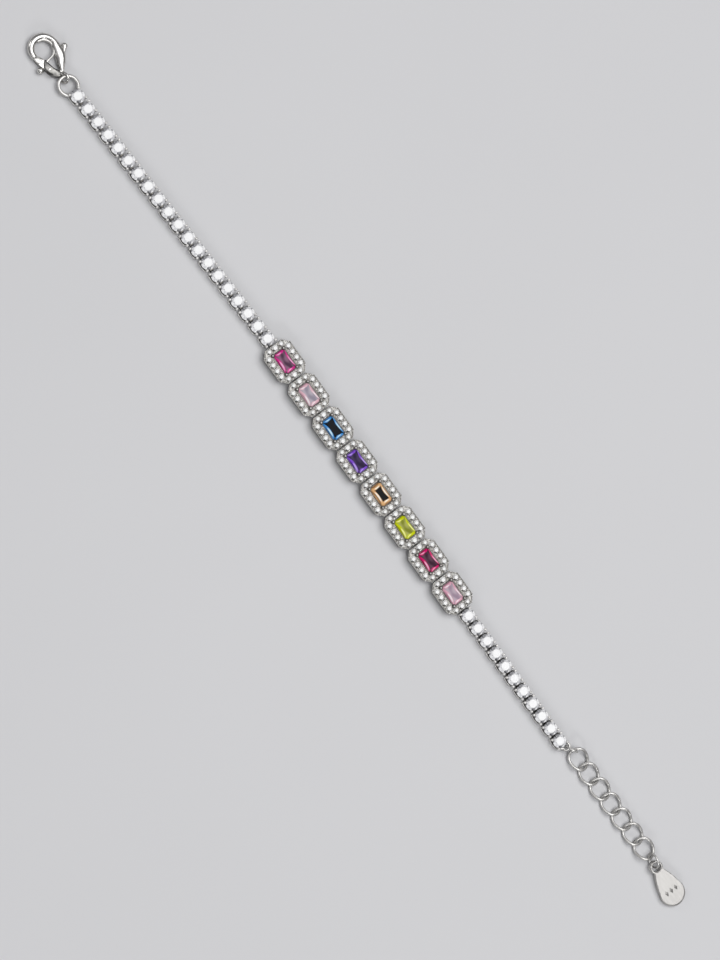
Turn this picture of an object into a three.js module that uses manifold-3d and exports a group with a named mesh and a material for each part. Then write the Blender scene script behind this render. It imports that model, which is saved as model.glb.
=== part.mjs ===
// Open tennis bracelet, lying straight on a table: lobster clasp, hinged four-prong links,
// eight halo links with emerald-cut stones, curb extension chain and teardrop drop.
// Millimetres, +Z up, +X from the clasp to the drop, resting on z = 0.
import * as THREE from 'three';
import { mergeVertices } from 'three/addons/utils/BufferGeometryUtils.js';
import Module from 'manifold-3d';

const wasm = await Module();
wasm.setup();

// How many there are
const roundLinksBefore = 20;
const roundLinksAfter = 11;
const chainRings = 7;

// Headings of the stretches away from the long axis as they lie, degrees
const lay = { clasp: -7, before: 2.0, halo: -0.2, after: 0, drop: -2.4 };

// Round links
const roundPitch = 3.0;
const roundStone = 2.75;
const roundGirdle = 1.62;
const roundCrown = 0.42;
const roundDepth = 1.15;
const railLength = 2.3;
const railHeight = 0.6;
const railThickness = 0.38;
const railBulge = 0.14;
const prongThickness = 0.46;
const prongSpread = 1.1;
const prongLean = 0.1;

// Hinge between neighbouring links
const hingeSetBack = 0.45;
const hingeBar = 0.34;
const hingeClearance = 0.1;
const hingeWall = 0.16;
const hingeWidth = 0.7;
const floorGap = 0.02;

// Halo links
const haloLength = 7.5;
const haloSpacing = 0.25;
const haloPitch = haloLength + haloSpacing;
const haloWidth = 6.3;
const haloCornerAlong = 1.3;
const haloCornerAcross = 1.15;
const haloHeight = 2.0;
const haloPlate = 0.6;
const galleryWall = 0.6;
const galleryCorner = 0.85;
const meleeStone = 1.15;
const meleeRise = 0.24;
const meleePitch = 1.31;
const meleeEndPitch = 1.4;
const meleeRowInset = 0.82;
const meleeEndInset = 0.6;
const meleeTable = 0.6;
const stoneClearance = 0.1;
const haloProng = 0.4;

// Emerald-cut centre stones
const centreLength = 4.4;
const centreWidth = 2.35;
const centreCorner = 0.42;
const centreCrown = 0.42;
const centreDepth = 1.3;

// Bails soldered to the end links
const headBailRadius = 1.85;
const headBailWire = 0.58;
const tailBailReach = 1.4;
const tailBailRadius = 0.72;
const tailBailSkew = 0.55;
const tailBailWire = 0.45;
const bailHeight = 1.0;

// Extension chain
const ringLength = 4.95;
const ringWidth = 4.2;
const ringWire = 0.55;
const ringTwist = 0.47;
const ringClearance = 0.2;
const chainOffset = 1.17;
const ringGap = 0.16;
const endRingLift = 6;
const neckRing = 2.82;
const neckRingWire = 0.37;
const neckRingLean = -12;
const dropRing = 3.4;
const dropRingWire = 0.44;
const dropRingLean = 12;

// Drop
const dropLength = 10.0;
const dropWidth = 5.2;
const dropThickness = 1.0;
const dropBevel = 0.16;
const eyeletDiameter = 2.64;
const eyeletHole = 1.75;
const eyeletThickness = 0.6;
const neckWidth = 1.9;
const dropTilt = 4;

// Clasp
const claspLength = 9.3;
const claspHeight = 1.6;
const hookRadius = 0.258 * claspLength;
const hookThickness = 0.124 * claspLength;
const spineThickness = 0.156 * claspLength;
const tailThickness = 0.075 * claspLength;
const cheekThickness = 0.35;
const leverClearance = 0.12;
const pivotPin = 0.44;
const tabBall = 0.133 * claspLength;
const claspEyeRadius = 0.097 * claspLength;
const claspEyeWire = 0.42;
const claspEyeTilt = 42;
const claspPull = 0.2;

// Facet counts
const stoneSides = 10;
const meleeSides = 8;
const wireSides = 5;
const ringSides = 12;
const eyeSides = 4;
const smallestStep = 0.02;

const silver = new THREE.Color('#c9cacc');
const warmSilver = new THREE.Color('#d6d3cc');
const centreColours = ['#d81b78', '#e9b6c4', '#3f8fd0', '#5b2fb0', '#c9a070', '#c3cf1e', '#c2185f', '#e3a9bd'];

const degrees = THREE.MathUtils.degToRad;

// Solids and joins

function solidOf(geometry) {
  const bare = geometry.clone();
  bare.deleteAttribute('normal');
  bare.deleteAttribute('uv');
  const merged = mergeVertices(bare, 1e-5);
  const corners = merged.index.array;
  const kept = [];
  for (let i = 0; i < corners.length; i += 3) {
    const [a, b, c] = [corners[i], corners[i + 1], corners[i + 2]];
    if (a !== b && b !== c && c !== a) kept.push(a, b, c);
  }
  return new wasm.Manifold(new wasm.Mesh({
    numProp: 3,
    vertProperties: new Float32Array(merged.attributes.position.array),
    triVerts: new Uint32Array(kept),
  }));
}

function join(...geometries) {
  return geometries.map(solidOf).reduce((whole, piece) => whole.add(piece));
}

function cut(whole, ...tools) {
  return tools.map(solidOf).reduce((rest, tool) => rest.subtract(tool), whole);
}

function geometryOf(solid) {
  const { vertProperties, triVerts } = solid.asOriginal().simplify(smallestStep).getMesh();
  const geometry = new THREE.BufferGeometry();
  geometry.setAttribute('position', new THREE.BufferAttribute(new Float32Array(vertProperties), 3));
  geometry.setIndex(new THREE.BufferAttribute(new Uint32Array(triVerts), 1));
  const flat = geometry.toNonIndexed();
  flat.computeVertexNormals();
  return flat;
}

// Basic shapes

// A profile of [radius, height] pairs, bottom first, turned about +Z
function turned(profile, sides) {
  const points = profile.map(([radius, height]) => new THREE.Vector2(radius, height));
  return new THREE.LatheGeometry(points, sides, Math.PI / sides).rotateX(Math.PI / 2);
}

// An outline raised from the lower to the upper height
function slab(outline, lower, upper, holes = []) {
  const shape = new THREE.Shape(outline.map(([x, y]) => new THREE.Vector2(x, y)));
  shape.holes = holes.map((hole) => new THREE.Path(hole.map(([x, y]) => new THREE.Vector2(x, y))));
  const raised = new THREE.ExtrudeGeometry(shape, { depth: upper - lower, bevelEnabled: false });
  return raised.translate(0, 0, lower);
}

function block(length, width, height, x, y, z) {
  return new THREE.BoxGeometry(length, width, height).translate(x, y, z);
}

function octagon(length, width, along, across) {
  const [x, y] = [length / 2, width / 2];
  return [
    [x, -y + across], [x, y - across], [x - along, y], [-x + along, y],
    [-x, y - across], [-x, -y + across], [-x + along, -y], [x - along, -y],
  ];
}

function circle(radius, sides, x = 0, y = 0) {
  const corners = Array.from({ length: sides }, (_, i) => (2 * Math.PI * (i + 0.5)) / sides);
  return corners.map((angle) => [x + radius * Math.cos(angle), y + radius * Math.sin(angle)]);
}

// A bar of oval section along a curve that stays near level. Width and height are functions
// of the share of the way along
function bar(curve, steps, widthAt, heightAt, sides = wireSides) {
  const rod = new THREE.CylinderGeometry(1, 1, 1, sides, steps);
  const place = rod.attributes.position;
  for (let i = 0; i < place.count; i += 1) {
    const share = place.getY(i) + 0.5;
    const centre = curve.getPoint(share);
    const along = curve.getTangent(share);
    const across = new THREE.Vector3(0, 0, 1).cross(along).normalize();
    const up = along.clone().cross(across);
    centre.addScaledVector(across, (place.getX(i) * widthAt(share)) / 2);
    centre.addScaledVector(up, (-place.getZ(i) * heightAt(share)) / 2);
    place.setXYZ(i, centre.x, centre.y, centre.z);
  }
  return rod;
}

function pathThrough(points) {
  return new THREE.CatmullRomCurve3(points.map((point) => new THREE.Vector3(...point)));
}

// A table of [share, value] rows read with straight lines between them
function between(rows) {
  return (share) => {
    const next = Math.max(1, rows.findIndex(([at]) => at >= share));
    const [[from, low], [to, high]] = [rows[next - 1], rows[next]];
    return low + ((high - low) * (share - from)) / (to - from);
  };
}

// A plain wire ring standing on its edge, its plane along +X, leaning over by an angle
function standingRing(diameter, wire, lean) {
  const ring = new THREE.TorusGeometry((diameter - wire) / 2, wire / 2, wireSides, ringSides);
  return ring.rotateX(Math.PI / 2 - degrees(lean));
}

function standingHeight(diameter, wire, lean) {
  return ((diameter - wire) / 2) * Math.cos(degrees(lean)) + wire / 2;
}

// Hinge: the tail of each link carries an eye that goes round a bar in the head of the next

const eyeHole = (hingeBar / 2 + hingeClearance) / Math.cos(Math.PI / eyeSides);
const eyeOuter = eyeHole + hingeWall;
const hingeHeight = eyeOuter * Math.cos(Math.PI / eyeSides) + floorGap;

function hingeEye(pitch, wallAt) {
  const centre = pitch / 2 + hingeSetBack;
  const eye = slab(
    circle(eyeOuter, eyeSides), -hingeWidth / 2, hingeWidth / 2,
    [circle(eyeHole, eyeSides)],
  );
  eye.rotateX(Math.PI / 2).translate(centre, 0, hingeHeight);
  const reach = centre - (eyeOuter + eyeHole) / 2 - wallAt;
  return join(eye, block(reach + hingeWall, hingeWidth, hingeBar, wallAt + reach / 2, 0, hingeHeight));
}

function hingeBarAt(pitch, length) {
  const rod = slab(circle(hingeBar * Math.SQRT1_2, eyeSides), -length / 2, length / 2);
  return rod.rotateX(Math.PI / 2).translate(-pitch / 2 + hingeSetBack, 0, hingeHeight);
}

// Round link: U-shaped base rail, four prongs, a round stone and the hinge parts

const railWidth = roundStone - 2 * railBulge;
const tableShare = 0.56;

function roundBrilliant(diameter, girdle, crown, depth, sides) {
  const radius = diameter / 2;
  const top = girdle + crown;
  return turned([[0, girdle - depth], [radius, girdle], [radius * tableShare, top], [0, top]], sides);
}

// A square post whose head leans outwards and flares to a pointed bead
function prong(x, y, foot, head, thickness, lean) {
  const radius = thickness * Math.SQRT1_2;
  const height = head - foot;
  const post = turned([
    [0, 0], [radius * 0.6, 0], [radius, height - thickness * 0.4], [0, height],
  ], 4);
  const corners = post.attributes.position;
  for (let i = 0; i < corners.count; i += 1) {
    const back = lean * (1 - corners.getZ(i) / height);
    corners.setX(i, corners.getX(i) - Math.sign(x) * back);
    corners.setY(i, corners.getY(i) - Math.sign(y) * back);
  }
  return post.translate(x, y, foot);
}

function baseRails() {
  const [x, y, inner] = [railLength / 2, railWidth / 2, railWidth / 2 - railThickness];
  return slab([
    [-x, -y], [0, -y - railBulge], [x, -y], [x, y], [0, y + railBulge], [-x, y],
    [-x, inner], [x - railThickness, inner], [x - railThickness, -inner], [-x, -inner],
  ], 0, railHeight);
}

function roundLinkBody() {
  const corners = [[-1, -1], [-1, 1], [1, -1], [1, 1]];
  const head = roundGirdle + roundCrown;
  return join(
    baseRails(),
    roundBrilliant(roundStone, roundGirdle, roundCrown, roundDepth, stoneSides),
    ...corners.map(([x, y]) => prong(
      x * prongSpread, y * prongSpread, railHeight * 0.8, head, prongThickness, prongLean,
    )),
    hingeBarAt(roundPitch, railWidth - railThickness),
  );
}

// Halo link: pierced octagonal plate on a gallery wall, fourteen small stones and four prongs

const haloTop = haloHeight;
const plateBottom = haloHeight - haloPlate;
const windowLength = centreLength + 2 * stoneClearance;
const windowWidth = centreWidth + 2 * stoneClearance;

function meleePlaces() {
  const sideRow = haloWidth / 2 - meleeRowInset;
  const endRow = haloLength / 2 - meleeEndInset;
  const places = [];
  for (const side of [-1, 1]) {
    for (const share of [-1.5, -0.5, 0.5, 1.5]) places.push([share * meleePitch, side * sideRow]);
    for (const share of [-1, 0, 1]) places.push([side * endRow, share * meleeEndPitch]);
  }
  return places;
}

function meleeCrown(x, y) {
  const radius = meleeStone / 2;
  const crown = turned([
    [0, haloTop - haloPlate / 2], [radius, haloTop],
    [radius * meleeTable, haloTop + meleeRise], [0, haloTop + meleeRise],
  ], meleeSides);
  return crown.translate(x, y, 0);
}

function haloBody() {
  const plate = slab(
    octagon(haloLength, haloWidth, haloCornerAlong, haloCornerAcross), plateBottom, haloTop,
    [octagon(windowLength, windowWidth, centreCorner, centreCorner)],
  );
  const inner = octagon(
    haloLength - 2 * galleryWall, haloWidth - 2 * galleryWall,
    haloCornerAlong * galleryCorner, haloCornerAcross * galleryCorner,
  );
  const wall = slab(octagon(haloLength, haloWidth, haloCornerAlong, haloCornerAcross), 0, plateBottom, [inner]);
  const [alongProng, acrossProng] = [centreLength / 2 + haloProng / 4, centreWidth / 2 + haloProng / 8];
  const prongs = [[-1, -1], [-1, 1], [1, -1], [1, 1]].map(([x, y]) => prong(
    x * alongProng, y * acrossProng, haloTop - haloPlate / 4, haloTop + centreCrown, haloProng, 0,
  ));
  const slotHeight = hingeHeight + eyeOuter + hingeClearance;
  const slot = block(
    2 * galleryWall, hingeWidth + 3 * hingeClearance, 2 * slotHeight, -haloLength / 2, 0, 0,
  );
  const opened = cut(join(plate, wall, ...prongs, ...meleePlaces().map(([x, y]) => meleeCrown(x, y))), slot);
  return opened
    .add(solidOf(hingeBarAt(haloPitch, hingeWidth + 5 * hingeClearance)))
    .add(hingeEye(haloPitch, haloLength / 2 - hingeWall));
}

// Emerald-cut stone with clipped corners, a table, two crown steps and a keel below
function centreStone() {
  const girdle = haloTop + stoneClearance;
  const rows = [
    [girdle - centreDepth, 0.4, 0.14], [girdle, 1, 1],
    [girdle + centreCrown * 0.6, 0.9, 0.82], [girdle + centreCrown, 0.76, 0.6],
  ];
  const sections = rows.map(([height, along, across]) => octagon(
    centreLength * along, centreWidth * across,
    centreCorner * along, centreCorner * across,
  ).map(([x, y]) => [x, y, height]));
  return loft(sections);
}

// Sections with the same number of corners joined in turn and closed by flat ends
function loft(sections) {
  const corners = sections[0].length;
  const points = sections.flat(2);
  const faces = [];
  for (let row = 0; row + 1 < sections.length; row += 1) {
    for (let i = 0; i < corners; i += 1) {
      const [a, b] = [row * corners + i, row * corners + ((i + 1) % corners)];
      faces.push(a, b, b + corners, a, b + corners, a + corners);
    }
  }
  const top = (sections.length - 1) * corners;
  for (let i = 1; i + 1 < corners; i += 1) faces.push(0, i + 1, i, top, top + i, top + i + 1);
  const geometry = new THREE.BufferGeometry();
  geometry.setAttribute('position', new THREE.Float32BufferAttribute(points, 3));
  geometry.setIndex(faces);
  return geometry;
}

// Bails soldered to the prongs of the first and last round links

const headBailCentre = -prongSpread - Math.sqrt(headBailRadius ** 2 - prongSpread ** 2);

function headBail() {
  const open = Math.asin(prongSpread / headBailRadius);
  const turns = Array.from({ length: 13 }, (_, i) => open + ((2 * Math.PI - 2 * open) * i) / 12);
  const loop = pathThrough(turns.map((angle) => [
    headBailCentre + headBailRadius * Math.cos(angle), headBailRadius * Math.sin(angle), bailHeight,
  ]));
  return bar(loop, ringSides, () => headBailWire, () => headBailWire);
}

const tailBailCentre = [prongSpread + tailBailReach - tailBailRadius, tailBailSkew];

function tailBail() {
  const turns = [-95, -60, -25, 0, 25, 60, 95].map(degrees);
  const nose = turns.map((turn) => [
    tailBailCentre[0] + tailBailRadius * Math.cos(turn),
    tailBailCentre[1] + tailBailRadius * Math.sin(turn), bailHeight,
  ]);
  const loop = pathThrough([[prongSpread, -prongSpread, bailHeight], ...nose, [prongSpread, prongSpread, bailHeight]]);
  return bar(loop, 10, () => tailBailWire, () => tailBailWire);
}

// Curb ring: an oval wire loop whose two ends are twisted opposite ways, so that its
// neighbours thread through it while the whole chain lies flat
function curbRing() {
  const [a, b] = [(ringLength - ringWire) / 2, (ringWidth - ringWire) / 2];
  const ring = new THREE.TorusGeometry(1, 0.25, wireSides, ringSides);
  const place = ring.attributes.position;
  for (let i = 0; i < place.count; i += 1) {
    const angle = Math.atan2(place.getY(i), place.getX(i));
    const outwards = ((Math.hypot(place.getX(i), place.getY(i)) - 1) / 0.25) * (ringWire / 2);
    const upwards = (place.getZ(i) / 0.25) * (ringWire / 2);
    const [cos, sin] = [Math.cos(angle), Math.sin(angle)];
    const centre = new THREE.Vector3(a * cos, b * sin, ringWire / 2 + ringTwist * (1 - Math.sin(2 * angle)));
    const along = new THREE.Vector3(-a * sin, b * cos, -2 * ringTwist * Math.cos(2 * angle)).normalize();
    const out = along.clone().cross(new THREE.Vector3(0, 0, 1)).normalize();
    centre.addScaledVector(out, outwards).addScaledVector(out.clone().cross(along), upwards);
    place.setXYZ(i, centre.x, centre.y, centre.z);
  }
  return ring;
}

// Drop: bevelled teardrop plate with a pierced eyelet, centred on the eyelet's hole
function drop() {
  const round = dropWidth / 2 - dropBevel;
  const far = dropLength - eyeletDiameter / 2 - dropWidth / 2;
  const half = neckWidth / 2 - dropBevel;
  const shoulder = degrees(62);
  const outline = new THREE.Shape();
  outline.moveTo(eyeletHole / 2 + dropBevel, -half);
  outline.quadraticCurveTo(far * 0.55, -round * 0.82, far - round * Math.cos(shoulder), -round * Math.sin(shoulder));
  outline.absarc(far, 0, round, -Math.PI + shoulder, Math.PI - shoulder, false);
  outline.quadraticCurveTo(far * 0.55, round * 0.82, eyeletHole / 2 + dropBevel, half);
  const plate = new THREE.ExtrudeGeometry(outline, {
    depth: dropThickness - 2 * dropBevel, curveSegments: 6, bevelSegments: 1,
    bevelThickness: dropBevel, bevelSize: dropBevel,
  }).translate(0, 0, dropBevel);
  const lift = (dropThickness - eyeletThickness) / 2;
  const eyelet = slab(circle(eyeletDiameter / 2, ringSides), lift, lift + eyeletThickness);
  const hole = slab(circle(eyeletHole / 2, ringSides), -dropThickness, 2 * dropThickness);
  return cut(join(plate, eyelet), hole);
}

// Clasp: hook and spine in one bar, a slotted cheek housing, an inner strip, knob and eye.
// Its own frame has the eye at the origin and the hook towards -X. Rows are shares of the length

const claspMid = claspHeight / 2;
const leverHeight = claspHeight - 2 * cheekThickness - 2 * leverClearance;
const pivot = [-0.28 * claspLength, -0.178 * claspLength];
const hookCentre = [-0.688 * claspLength, -0.07 * claspLength];
const hookTipAngle = -80;
const hookEndAngle = -284;
const hookKnots = 8;

function onHook(angle, radius = hookRadius) {
  const turn = degrees(angle);
  return [hookCentre[0] + radius * Math.cos(turn), hookCentre[1] + radius * Math.sin(turn), claspMid];
}

function hookAndSpine() {
  const turns = Array.from(
    { length: hookKnots },
    (_, i) => hookTipAngle + ((hookEndAngle - hookTipAngle) * i) / (hookKnots - 1),
  );
  const spine = [[-0.425, 0.155], [-0.275, 0.08], [-0.135, 0.035]].map(
    ([x, y]) => [x * claspLength, y * claspLength, claspMid],
  );
  const path = pathThrough([...turns.map((angle) => onHook(angle)), ...spine]);
  const widths = [
    [0, hookThickness * 0.72], [0.12, hookThickness * 0.85], [0.35, hookThickness * 1.05],
    [0.6, hookThickness * 0.85], [0.76, spineThickness], [0.88, spineThickness * 0.75], [1, tailThickness],
  ];
  const heights = [
    [0, claspHeight * 0.8], [0.35, claspHeight * 0.95], [0.76, claspHeight], [0.9, claspHeight * 0.8],
    [1, claspHeight * 0.5],
  ];
  return bar(path, 18, between(widths), between(heights), 6);
}

const cheekOutline = [
  [-0.082, -0.02], [-0.18, -0.035], [-0.25, -0.085], [-0.4, -0.14], [-0.48, -0.17], [-0.42, -0.232],
  [-0.35, -0.262], [-0.3, -0.256], [-0.19, -0.215], [-0.1, -0.14],
].map(([x, y]) => [x * claspLength, y * claspLength]);

function housing() {
  const lowerCheek = slab(cheekOutline.toReversed(), 0, cheekThickness);
  const upperCheek = slab(cheekOutline.toReversed(), claspHeight - cheekThickness, claspHeight);
  const back = slab([
    [-0.08, -0.13], [-0.08, 0.03], [-0.15, 0.05], [-0.19, -0.05], [-0.17, -0.18], [-0.11, -0.15],
  ].map(([x, y]) => [x * claspLength, y * claspLength]).toReversed(), 0, claspHeight);
  const pin = slab(circle(pivotPin / 2, 8, ...pivot), cheekThickness / 2, claspHeight - cheekThickness / 2);
  return [lowerCheek, upperCheek, back, pin];
}

function innerStrip() {
  const level = claspHeight - cheekThickness / 2;
  const rows = [
    [-0.862, 0.1, 0.62], [-0.78, 0.142, 0.62], [-0.69, 0.155, 0.66], [-0.6, 0.125, 0.76],
    [-0.52, 0.03, 1], [-0.47, -0.09, 1], [-0.43, -0.175, 1],
  ];
  const path = pathThrough(rows.map(([x, y, height]) => [x * claspLength, y * claspLength, level * height]));
  const heights = [[0, claspHeight * 0.55], [0.45, claspHeight * 0.5], [0.62, cheekThickness], [1, cheekThickness * 0.8]];
  return bar(path, 12, () => cheekThickness * 0.8, between(heights), wireSides);
}

function knob() {
  const [x, y] = [-0.58 * claspLength, 0.335 * claspLength];
  const stem = pathThrough([[x + 0.1 * claspLength, y - 0.1 * claspLength, claspMid], [x, y, claspMid],
    [x - 0.07 * claspLength, y + 0.02 * claspLength, claspMid]]);
  const widths = [[0, tabBall * 0.4], [0.6, tabBall * 0.72], [1, tabBall * 0.5]];
  return bar(stem, 4, between(widths), () => claspHeight * 0.5, wireSides);
}

function claspEye() {
  const eye = new THREE.TorusGeometry(claspEyeRadius, claspEyeWire / 2, wireSides, ringSides);
  return eye.rotateX(degrees(90 - claspEyeTilt)).translate(0, 0, bailHeight);
}

function claspBody() {
  const neck = bar(pathThrough([
    [-0.16 * claspLength, 0.02 * claspLength, claspMid], [-0.12 * claspLength, 0, claspMid],
    [-claspEyeRadius, 0, bailHeight],
  ]), 2, () => tailThickness, () => tailThickness, wireSides);
  return join(hookAndSpine(), ...housing(), innerStrip(), knob(), neck, claspEye());
}

// Lever: a boss on the pivot between the cheeks, a taller nose beyond them and a thumb ball
const cheekReach = Math.max(...cheekOutline.slice(3, 7).map(
  ([x, y]) => Math.hypot(x - pivot[0], y - pivot[1]),
)) + leverClearance;

function lever() {
  const outline = [
    [-0.613, -0.268], [-0.5, -0.178], [-0.4, -0.15], [-0.28, -0.122], [-0.225, -0.178], [-0.28, -0.235],
    [-0.35, -0.275], [-0.45, -0.325], [-0.595, -0.36],
  ].map(([x, y]) => [x * claspLength, y * claspLength]).toReversed();
  const low = cheekThickness + leverClearance;
  const thin = slab(outline, low, low + leverHeight);
  const tall = cut(
    solidOf(slab(outline, claspHeight * 0.12, claspHeight * 0.88)),
    slab(circle(cheekReach, 24, ...pivot), -claspHeight, 2 * claspHeight),
  );
  const [ballX, ballY] = [-0.36 * claspLength, -0.352 * claspLength];
  const ball = new THREE.SphereGeometry(tabBall / 2, 10, 6).translate(ballX, ballY, claspMid);
  const hole = slab(circle(pivotPin / 2 + leverClearance, 8, ...pivot), -claspHeight, 2 * claspHeight);
  return cut(join(thin, ball).add(tall), hole);
}

// Assembly

const bracelet = new THREE.Group();

function addPiece(name, shape, place, heading, colour = silver, height = 0) {
  const geometry = shape.getMesh ? geometryOf(shape) : geometryOf(solidOf(shape));
  const metal = colour === silver || colour === warmSilver;
  const material = new THREE.MeshStandardMaterial({
    color: colour, roughness: metal ? 0.22 : 0.05, metalness: metal ? 1 : 0,
  });
  const mesh = new THREE.Mesh(geometry, material);
  mesh.name = name;
  mesh.position.set(place[0], place[1], height);
  mesh.rotation.z = degrees(heading);
  bracelet.add(mesh);
  return mesh;
}

function step(place, heading, along, across = 0) {
  const turn = degrees(heading);
  return [
    place[0] + along * Math.cos(turn) - across * Math.sin(turn),
    place[1] + along * Math.sin(turn) + across * Math.cos(turn),
  ];
}

const stretches = [
  ...Array.from({ length: roundLinksBefore }, () => ({ kind: 'round', pitch: roundPitch, heading: lay.before })),
  ...centreColours.map((colour) => ({ kind: 'halo', pitch: haloPitch, heading: lay.halo, colour })),
  ...Array.from({ length: roundLinksAfter }, () => ({ kind: 'round', pitch: roundPitch, heading: lay.after })),
];
const roundBody = roundLinkBody();
const roundEye = hingeEye(roundPitch, railLength / 2 - railThickness / 2);
const halo = haloBody();
const emerald = centreStone();
const twoDigits = (number) => String(number).padStart(2, '0');

let place = [0, 0];
let roundCount = 0;
let haloCount = 0;
stretches.forEach((link, i) => {
  if (i > 0) {
    const middle = step(place, stretches[i - 1].heading, stretches[i - 1].pitch / 2);
    place = step(middle, link.heading, link.pitch / 2);
  }
  if (link.kind === 'halo') {
    haloCount += 1;
    addPiece(`halo_setting_${haloCount}`, halo, place, link.heading);
    addPiece(`centre_stone_${haloCount}`, emerald, place, link.heading, new THREE.Color(link.colour));
    return;
  }
  roundCount += 1;
  const first = i === 0;
  const last = i === stretches.length - 1;
  const tail = last ? solidOf(tailBail()) : roundEye;
  const body = first ? roundBody.add(solidOf(headBail())) : roundBody;
  addPiece(`tennis_link_${twoDigits(roundCount)}`, body.add(tail), place, link.heading);
});
const lastPlace = place;

// Clasp, hung on the head bail by its eye
const bailCentre = step([0, 0], lay.before, headBailCentre);
const eyePlace = step(bailCentre, lay.clasp, -(headBailRadius - claspPull));
addPiece('clasp_body', claspBody(), eyePlace, lay.clasp);
addPiece('clasp_lever', lever(), eyePlace, lay.clasp);

// Extension chain: a small ring on the tail bail, then the curb rings
const noseCentre = step(lastPlace, lay.after, ...tailBailCentre);
const reach = tailBailRadius + (tailBailWire + ringWire) / 2 + ringGap;
const sideways = lastPlace[1] + chainOffset - noseCentre[1];
const firstEnd = [noseCentre[0] + Math.sqrt(reach ** 2 - sideways ** 2), noseCentre[1] + sideways];
const neckHeading = THREE.MathUtils.radToDeg(Math.atan2(sideways, firstEnd[0] - noseCentre[0]));
const neckPlace = step(noseCentre, neckHeading, (tailBailRadius + reach) / 2);
addPiece(
  'neck_ring', standingRing(neckRing, neckRingWire, neckRingLean), neckPlace, neckHeading,
  silver, standingHeight(neckRing, neckRingWire, neckRingLean),
);

const halfRing = (ringLength - ringWire) / 2;
const ringPitch = 2 * halfRing - ringWire - ringClearance;
const firstRing = [firstEnd[0] + halfRing, lastPlace[1] + chainOffset];
for (let i = 0; i < chainRings; i += 1) {
  const ring = curbRing();
  // The first and last rings are lifted at the end that hangs in a standing ring
  const lift = i === 0 ? endRingLift : i === chainRings - 1 ? -endRingLift : 0;
  ring.translate(Math.sign(lift) * -halfRing, 0, 0).rotateY(degrees(lift)).translate(Math.sign(lift) * halfRing, 0, 0);
  addPiece(`chain_ring_${i + 1}`, ring, [firstRing[0] + i * ringPitch, firstRing[1]], 0);
}

// Drop ring and drop
const lastEnd = [firstRing[0] + (chainRings - 1) * ringPitch + halfRing, firstRing[1]];
const dropRingPlace = step(lastEnd, lay.drop, 0.5, -0.1);
addPiece(
  'drop_ring', standingRing(dropRing, dropRingWire, dropRingLean), dropRingPlace, lay.drop - 14,
  silver, standingHeight(dropRing, dropRingWire, dropRingLean),
);
const dropPlace = step(dropRingPlace, lay.drop, eyeletHole / 2 + 0.55, -0.2);
const tilted = drop().rotate([0, dropTilt, 0]);
addPiece('drop_tag', tilted, dropPlace, lay.drop, warmSilver, -tilted.boundingBox().min[2]);

// The whole is centred over the origin and rests on the table
const extent = new THREE.Box3().setFromObject(bracelet, true);
const middle = extent.getCenter(new THREE.Vector3());
bracelet.position.set(-middle.x, -middle.y, -extent.min.z);
bracelet.updateMatrixWorld(true);

export default bracelet;
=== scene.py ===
"""Visual model of an open tennis bracelet that lies on a pale table.

Sizes are in millimetres and are turned into metres when a mesh is made. +X runs from the clasp
to the drop and +Z is up.
"""

import logging
from dataclasses import dataclass, field
from enum import Enum

import bpy
import numpy as np
from mathutils import Matrix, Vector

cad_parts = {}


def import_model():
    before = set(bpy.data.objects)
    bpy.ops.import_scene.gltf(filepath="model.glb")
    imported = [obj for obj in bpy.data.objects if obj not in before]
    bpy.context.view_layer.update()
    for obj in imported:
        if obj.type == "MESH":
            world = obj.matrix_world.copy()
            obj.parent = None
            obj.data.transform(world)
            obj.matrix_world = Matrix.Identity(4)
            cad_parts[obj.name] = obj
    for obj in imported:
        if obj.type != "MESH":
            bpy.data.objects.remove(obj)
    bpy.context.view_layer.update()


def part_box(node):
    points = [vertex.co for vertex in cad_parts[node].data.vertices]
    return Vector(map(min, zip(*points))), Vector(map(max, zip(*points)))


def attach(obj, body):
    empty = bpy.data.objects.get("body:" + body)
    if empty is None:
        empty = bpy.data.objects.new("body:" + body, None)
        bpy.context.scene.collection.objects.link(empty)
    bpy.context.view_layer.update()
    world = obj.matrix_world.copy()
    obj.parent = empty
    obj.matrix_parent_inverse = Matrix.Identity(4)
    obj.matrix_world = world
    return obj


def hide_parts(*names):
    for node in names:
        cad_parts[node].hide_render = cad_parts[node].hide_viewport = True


MM = 0.001
LOG = logging.getLogger("bracelet")
Points = np.ndarray
Faces = list[tuple[int, ...]]
Colour = tuple[float, ...]
Value = float | Colour | bpy.types.NodeSocket


class Shading(Enum):
    """How the faces of a piece are shaded: the angle above which an edge stays sharp."""

    FACETED = 1.0
    METAL = 38.0


@dataclass
class Surface:
    """Corner places in millimetres, faces by corner number, and a finish number per face."""

    points: Points
    faces: Faces
    finish: int = 0
    uv: Points | None = None

    def outwards(self) -> "Surface":
        """Turn all faces round if the volume that they enclose comes out negative.

        The volume is a sixth of the sum of the triple products of each face's fan triangles.

        Returns:
            The same surface with its faces pointing outwards.
        """
        fans = [(f[0], f[i], f[i + 1]) for f in self.faces for i in range(1, len(f) - 1)]
        a, b, c = (self.points[np.array(fans)[:, k]] for k in range(3))
        if np.einsum("ij,ij->i", a, np.cross(b, c)).sum() < 0:
            self.faces = [tuple(reversed(face)) for face in self.faces]
        return self

    def moved(self, shift: tuple[float, float, float]) -> "Surface":
        """Copy of the surface shifted by three distances."""
        return Surface(self.points + np.array(shift), self.faces, self.finish, self.uv)

    def turned(self, heading: float) -> "Surface":
        """Copy of the surface turned about +Z by an angle in degrees."""
        return Surface(turn_about_z(self.points, heading), self.faces, self.finish, self.uv)

    def finished(self, finish: int) -> "Surface":
        """The same surface with another finish number."""
        self.finish = finish
        return self


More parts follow.
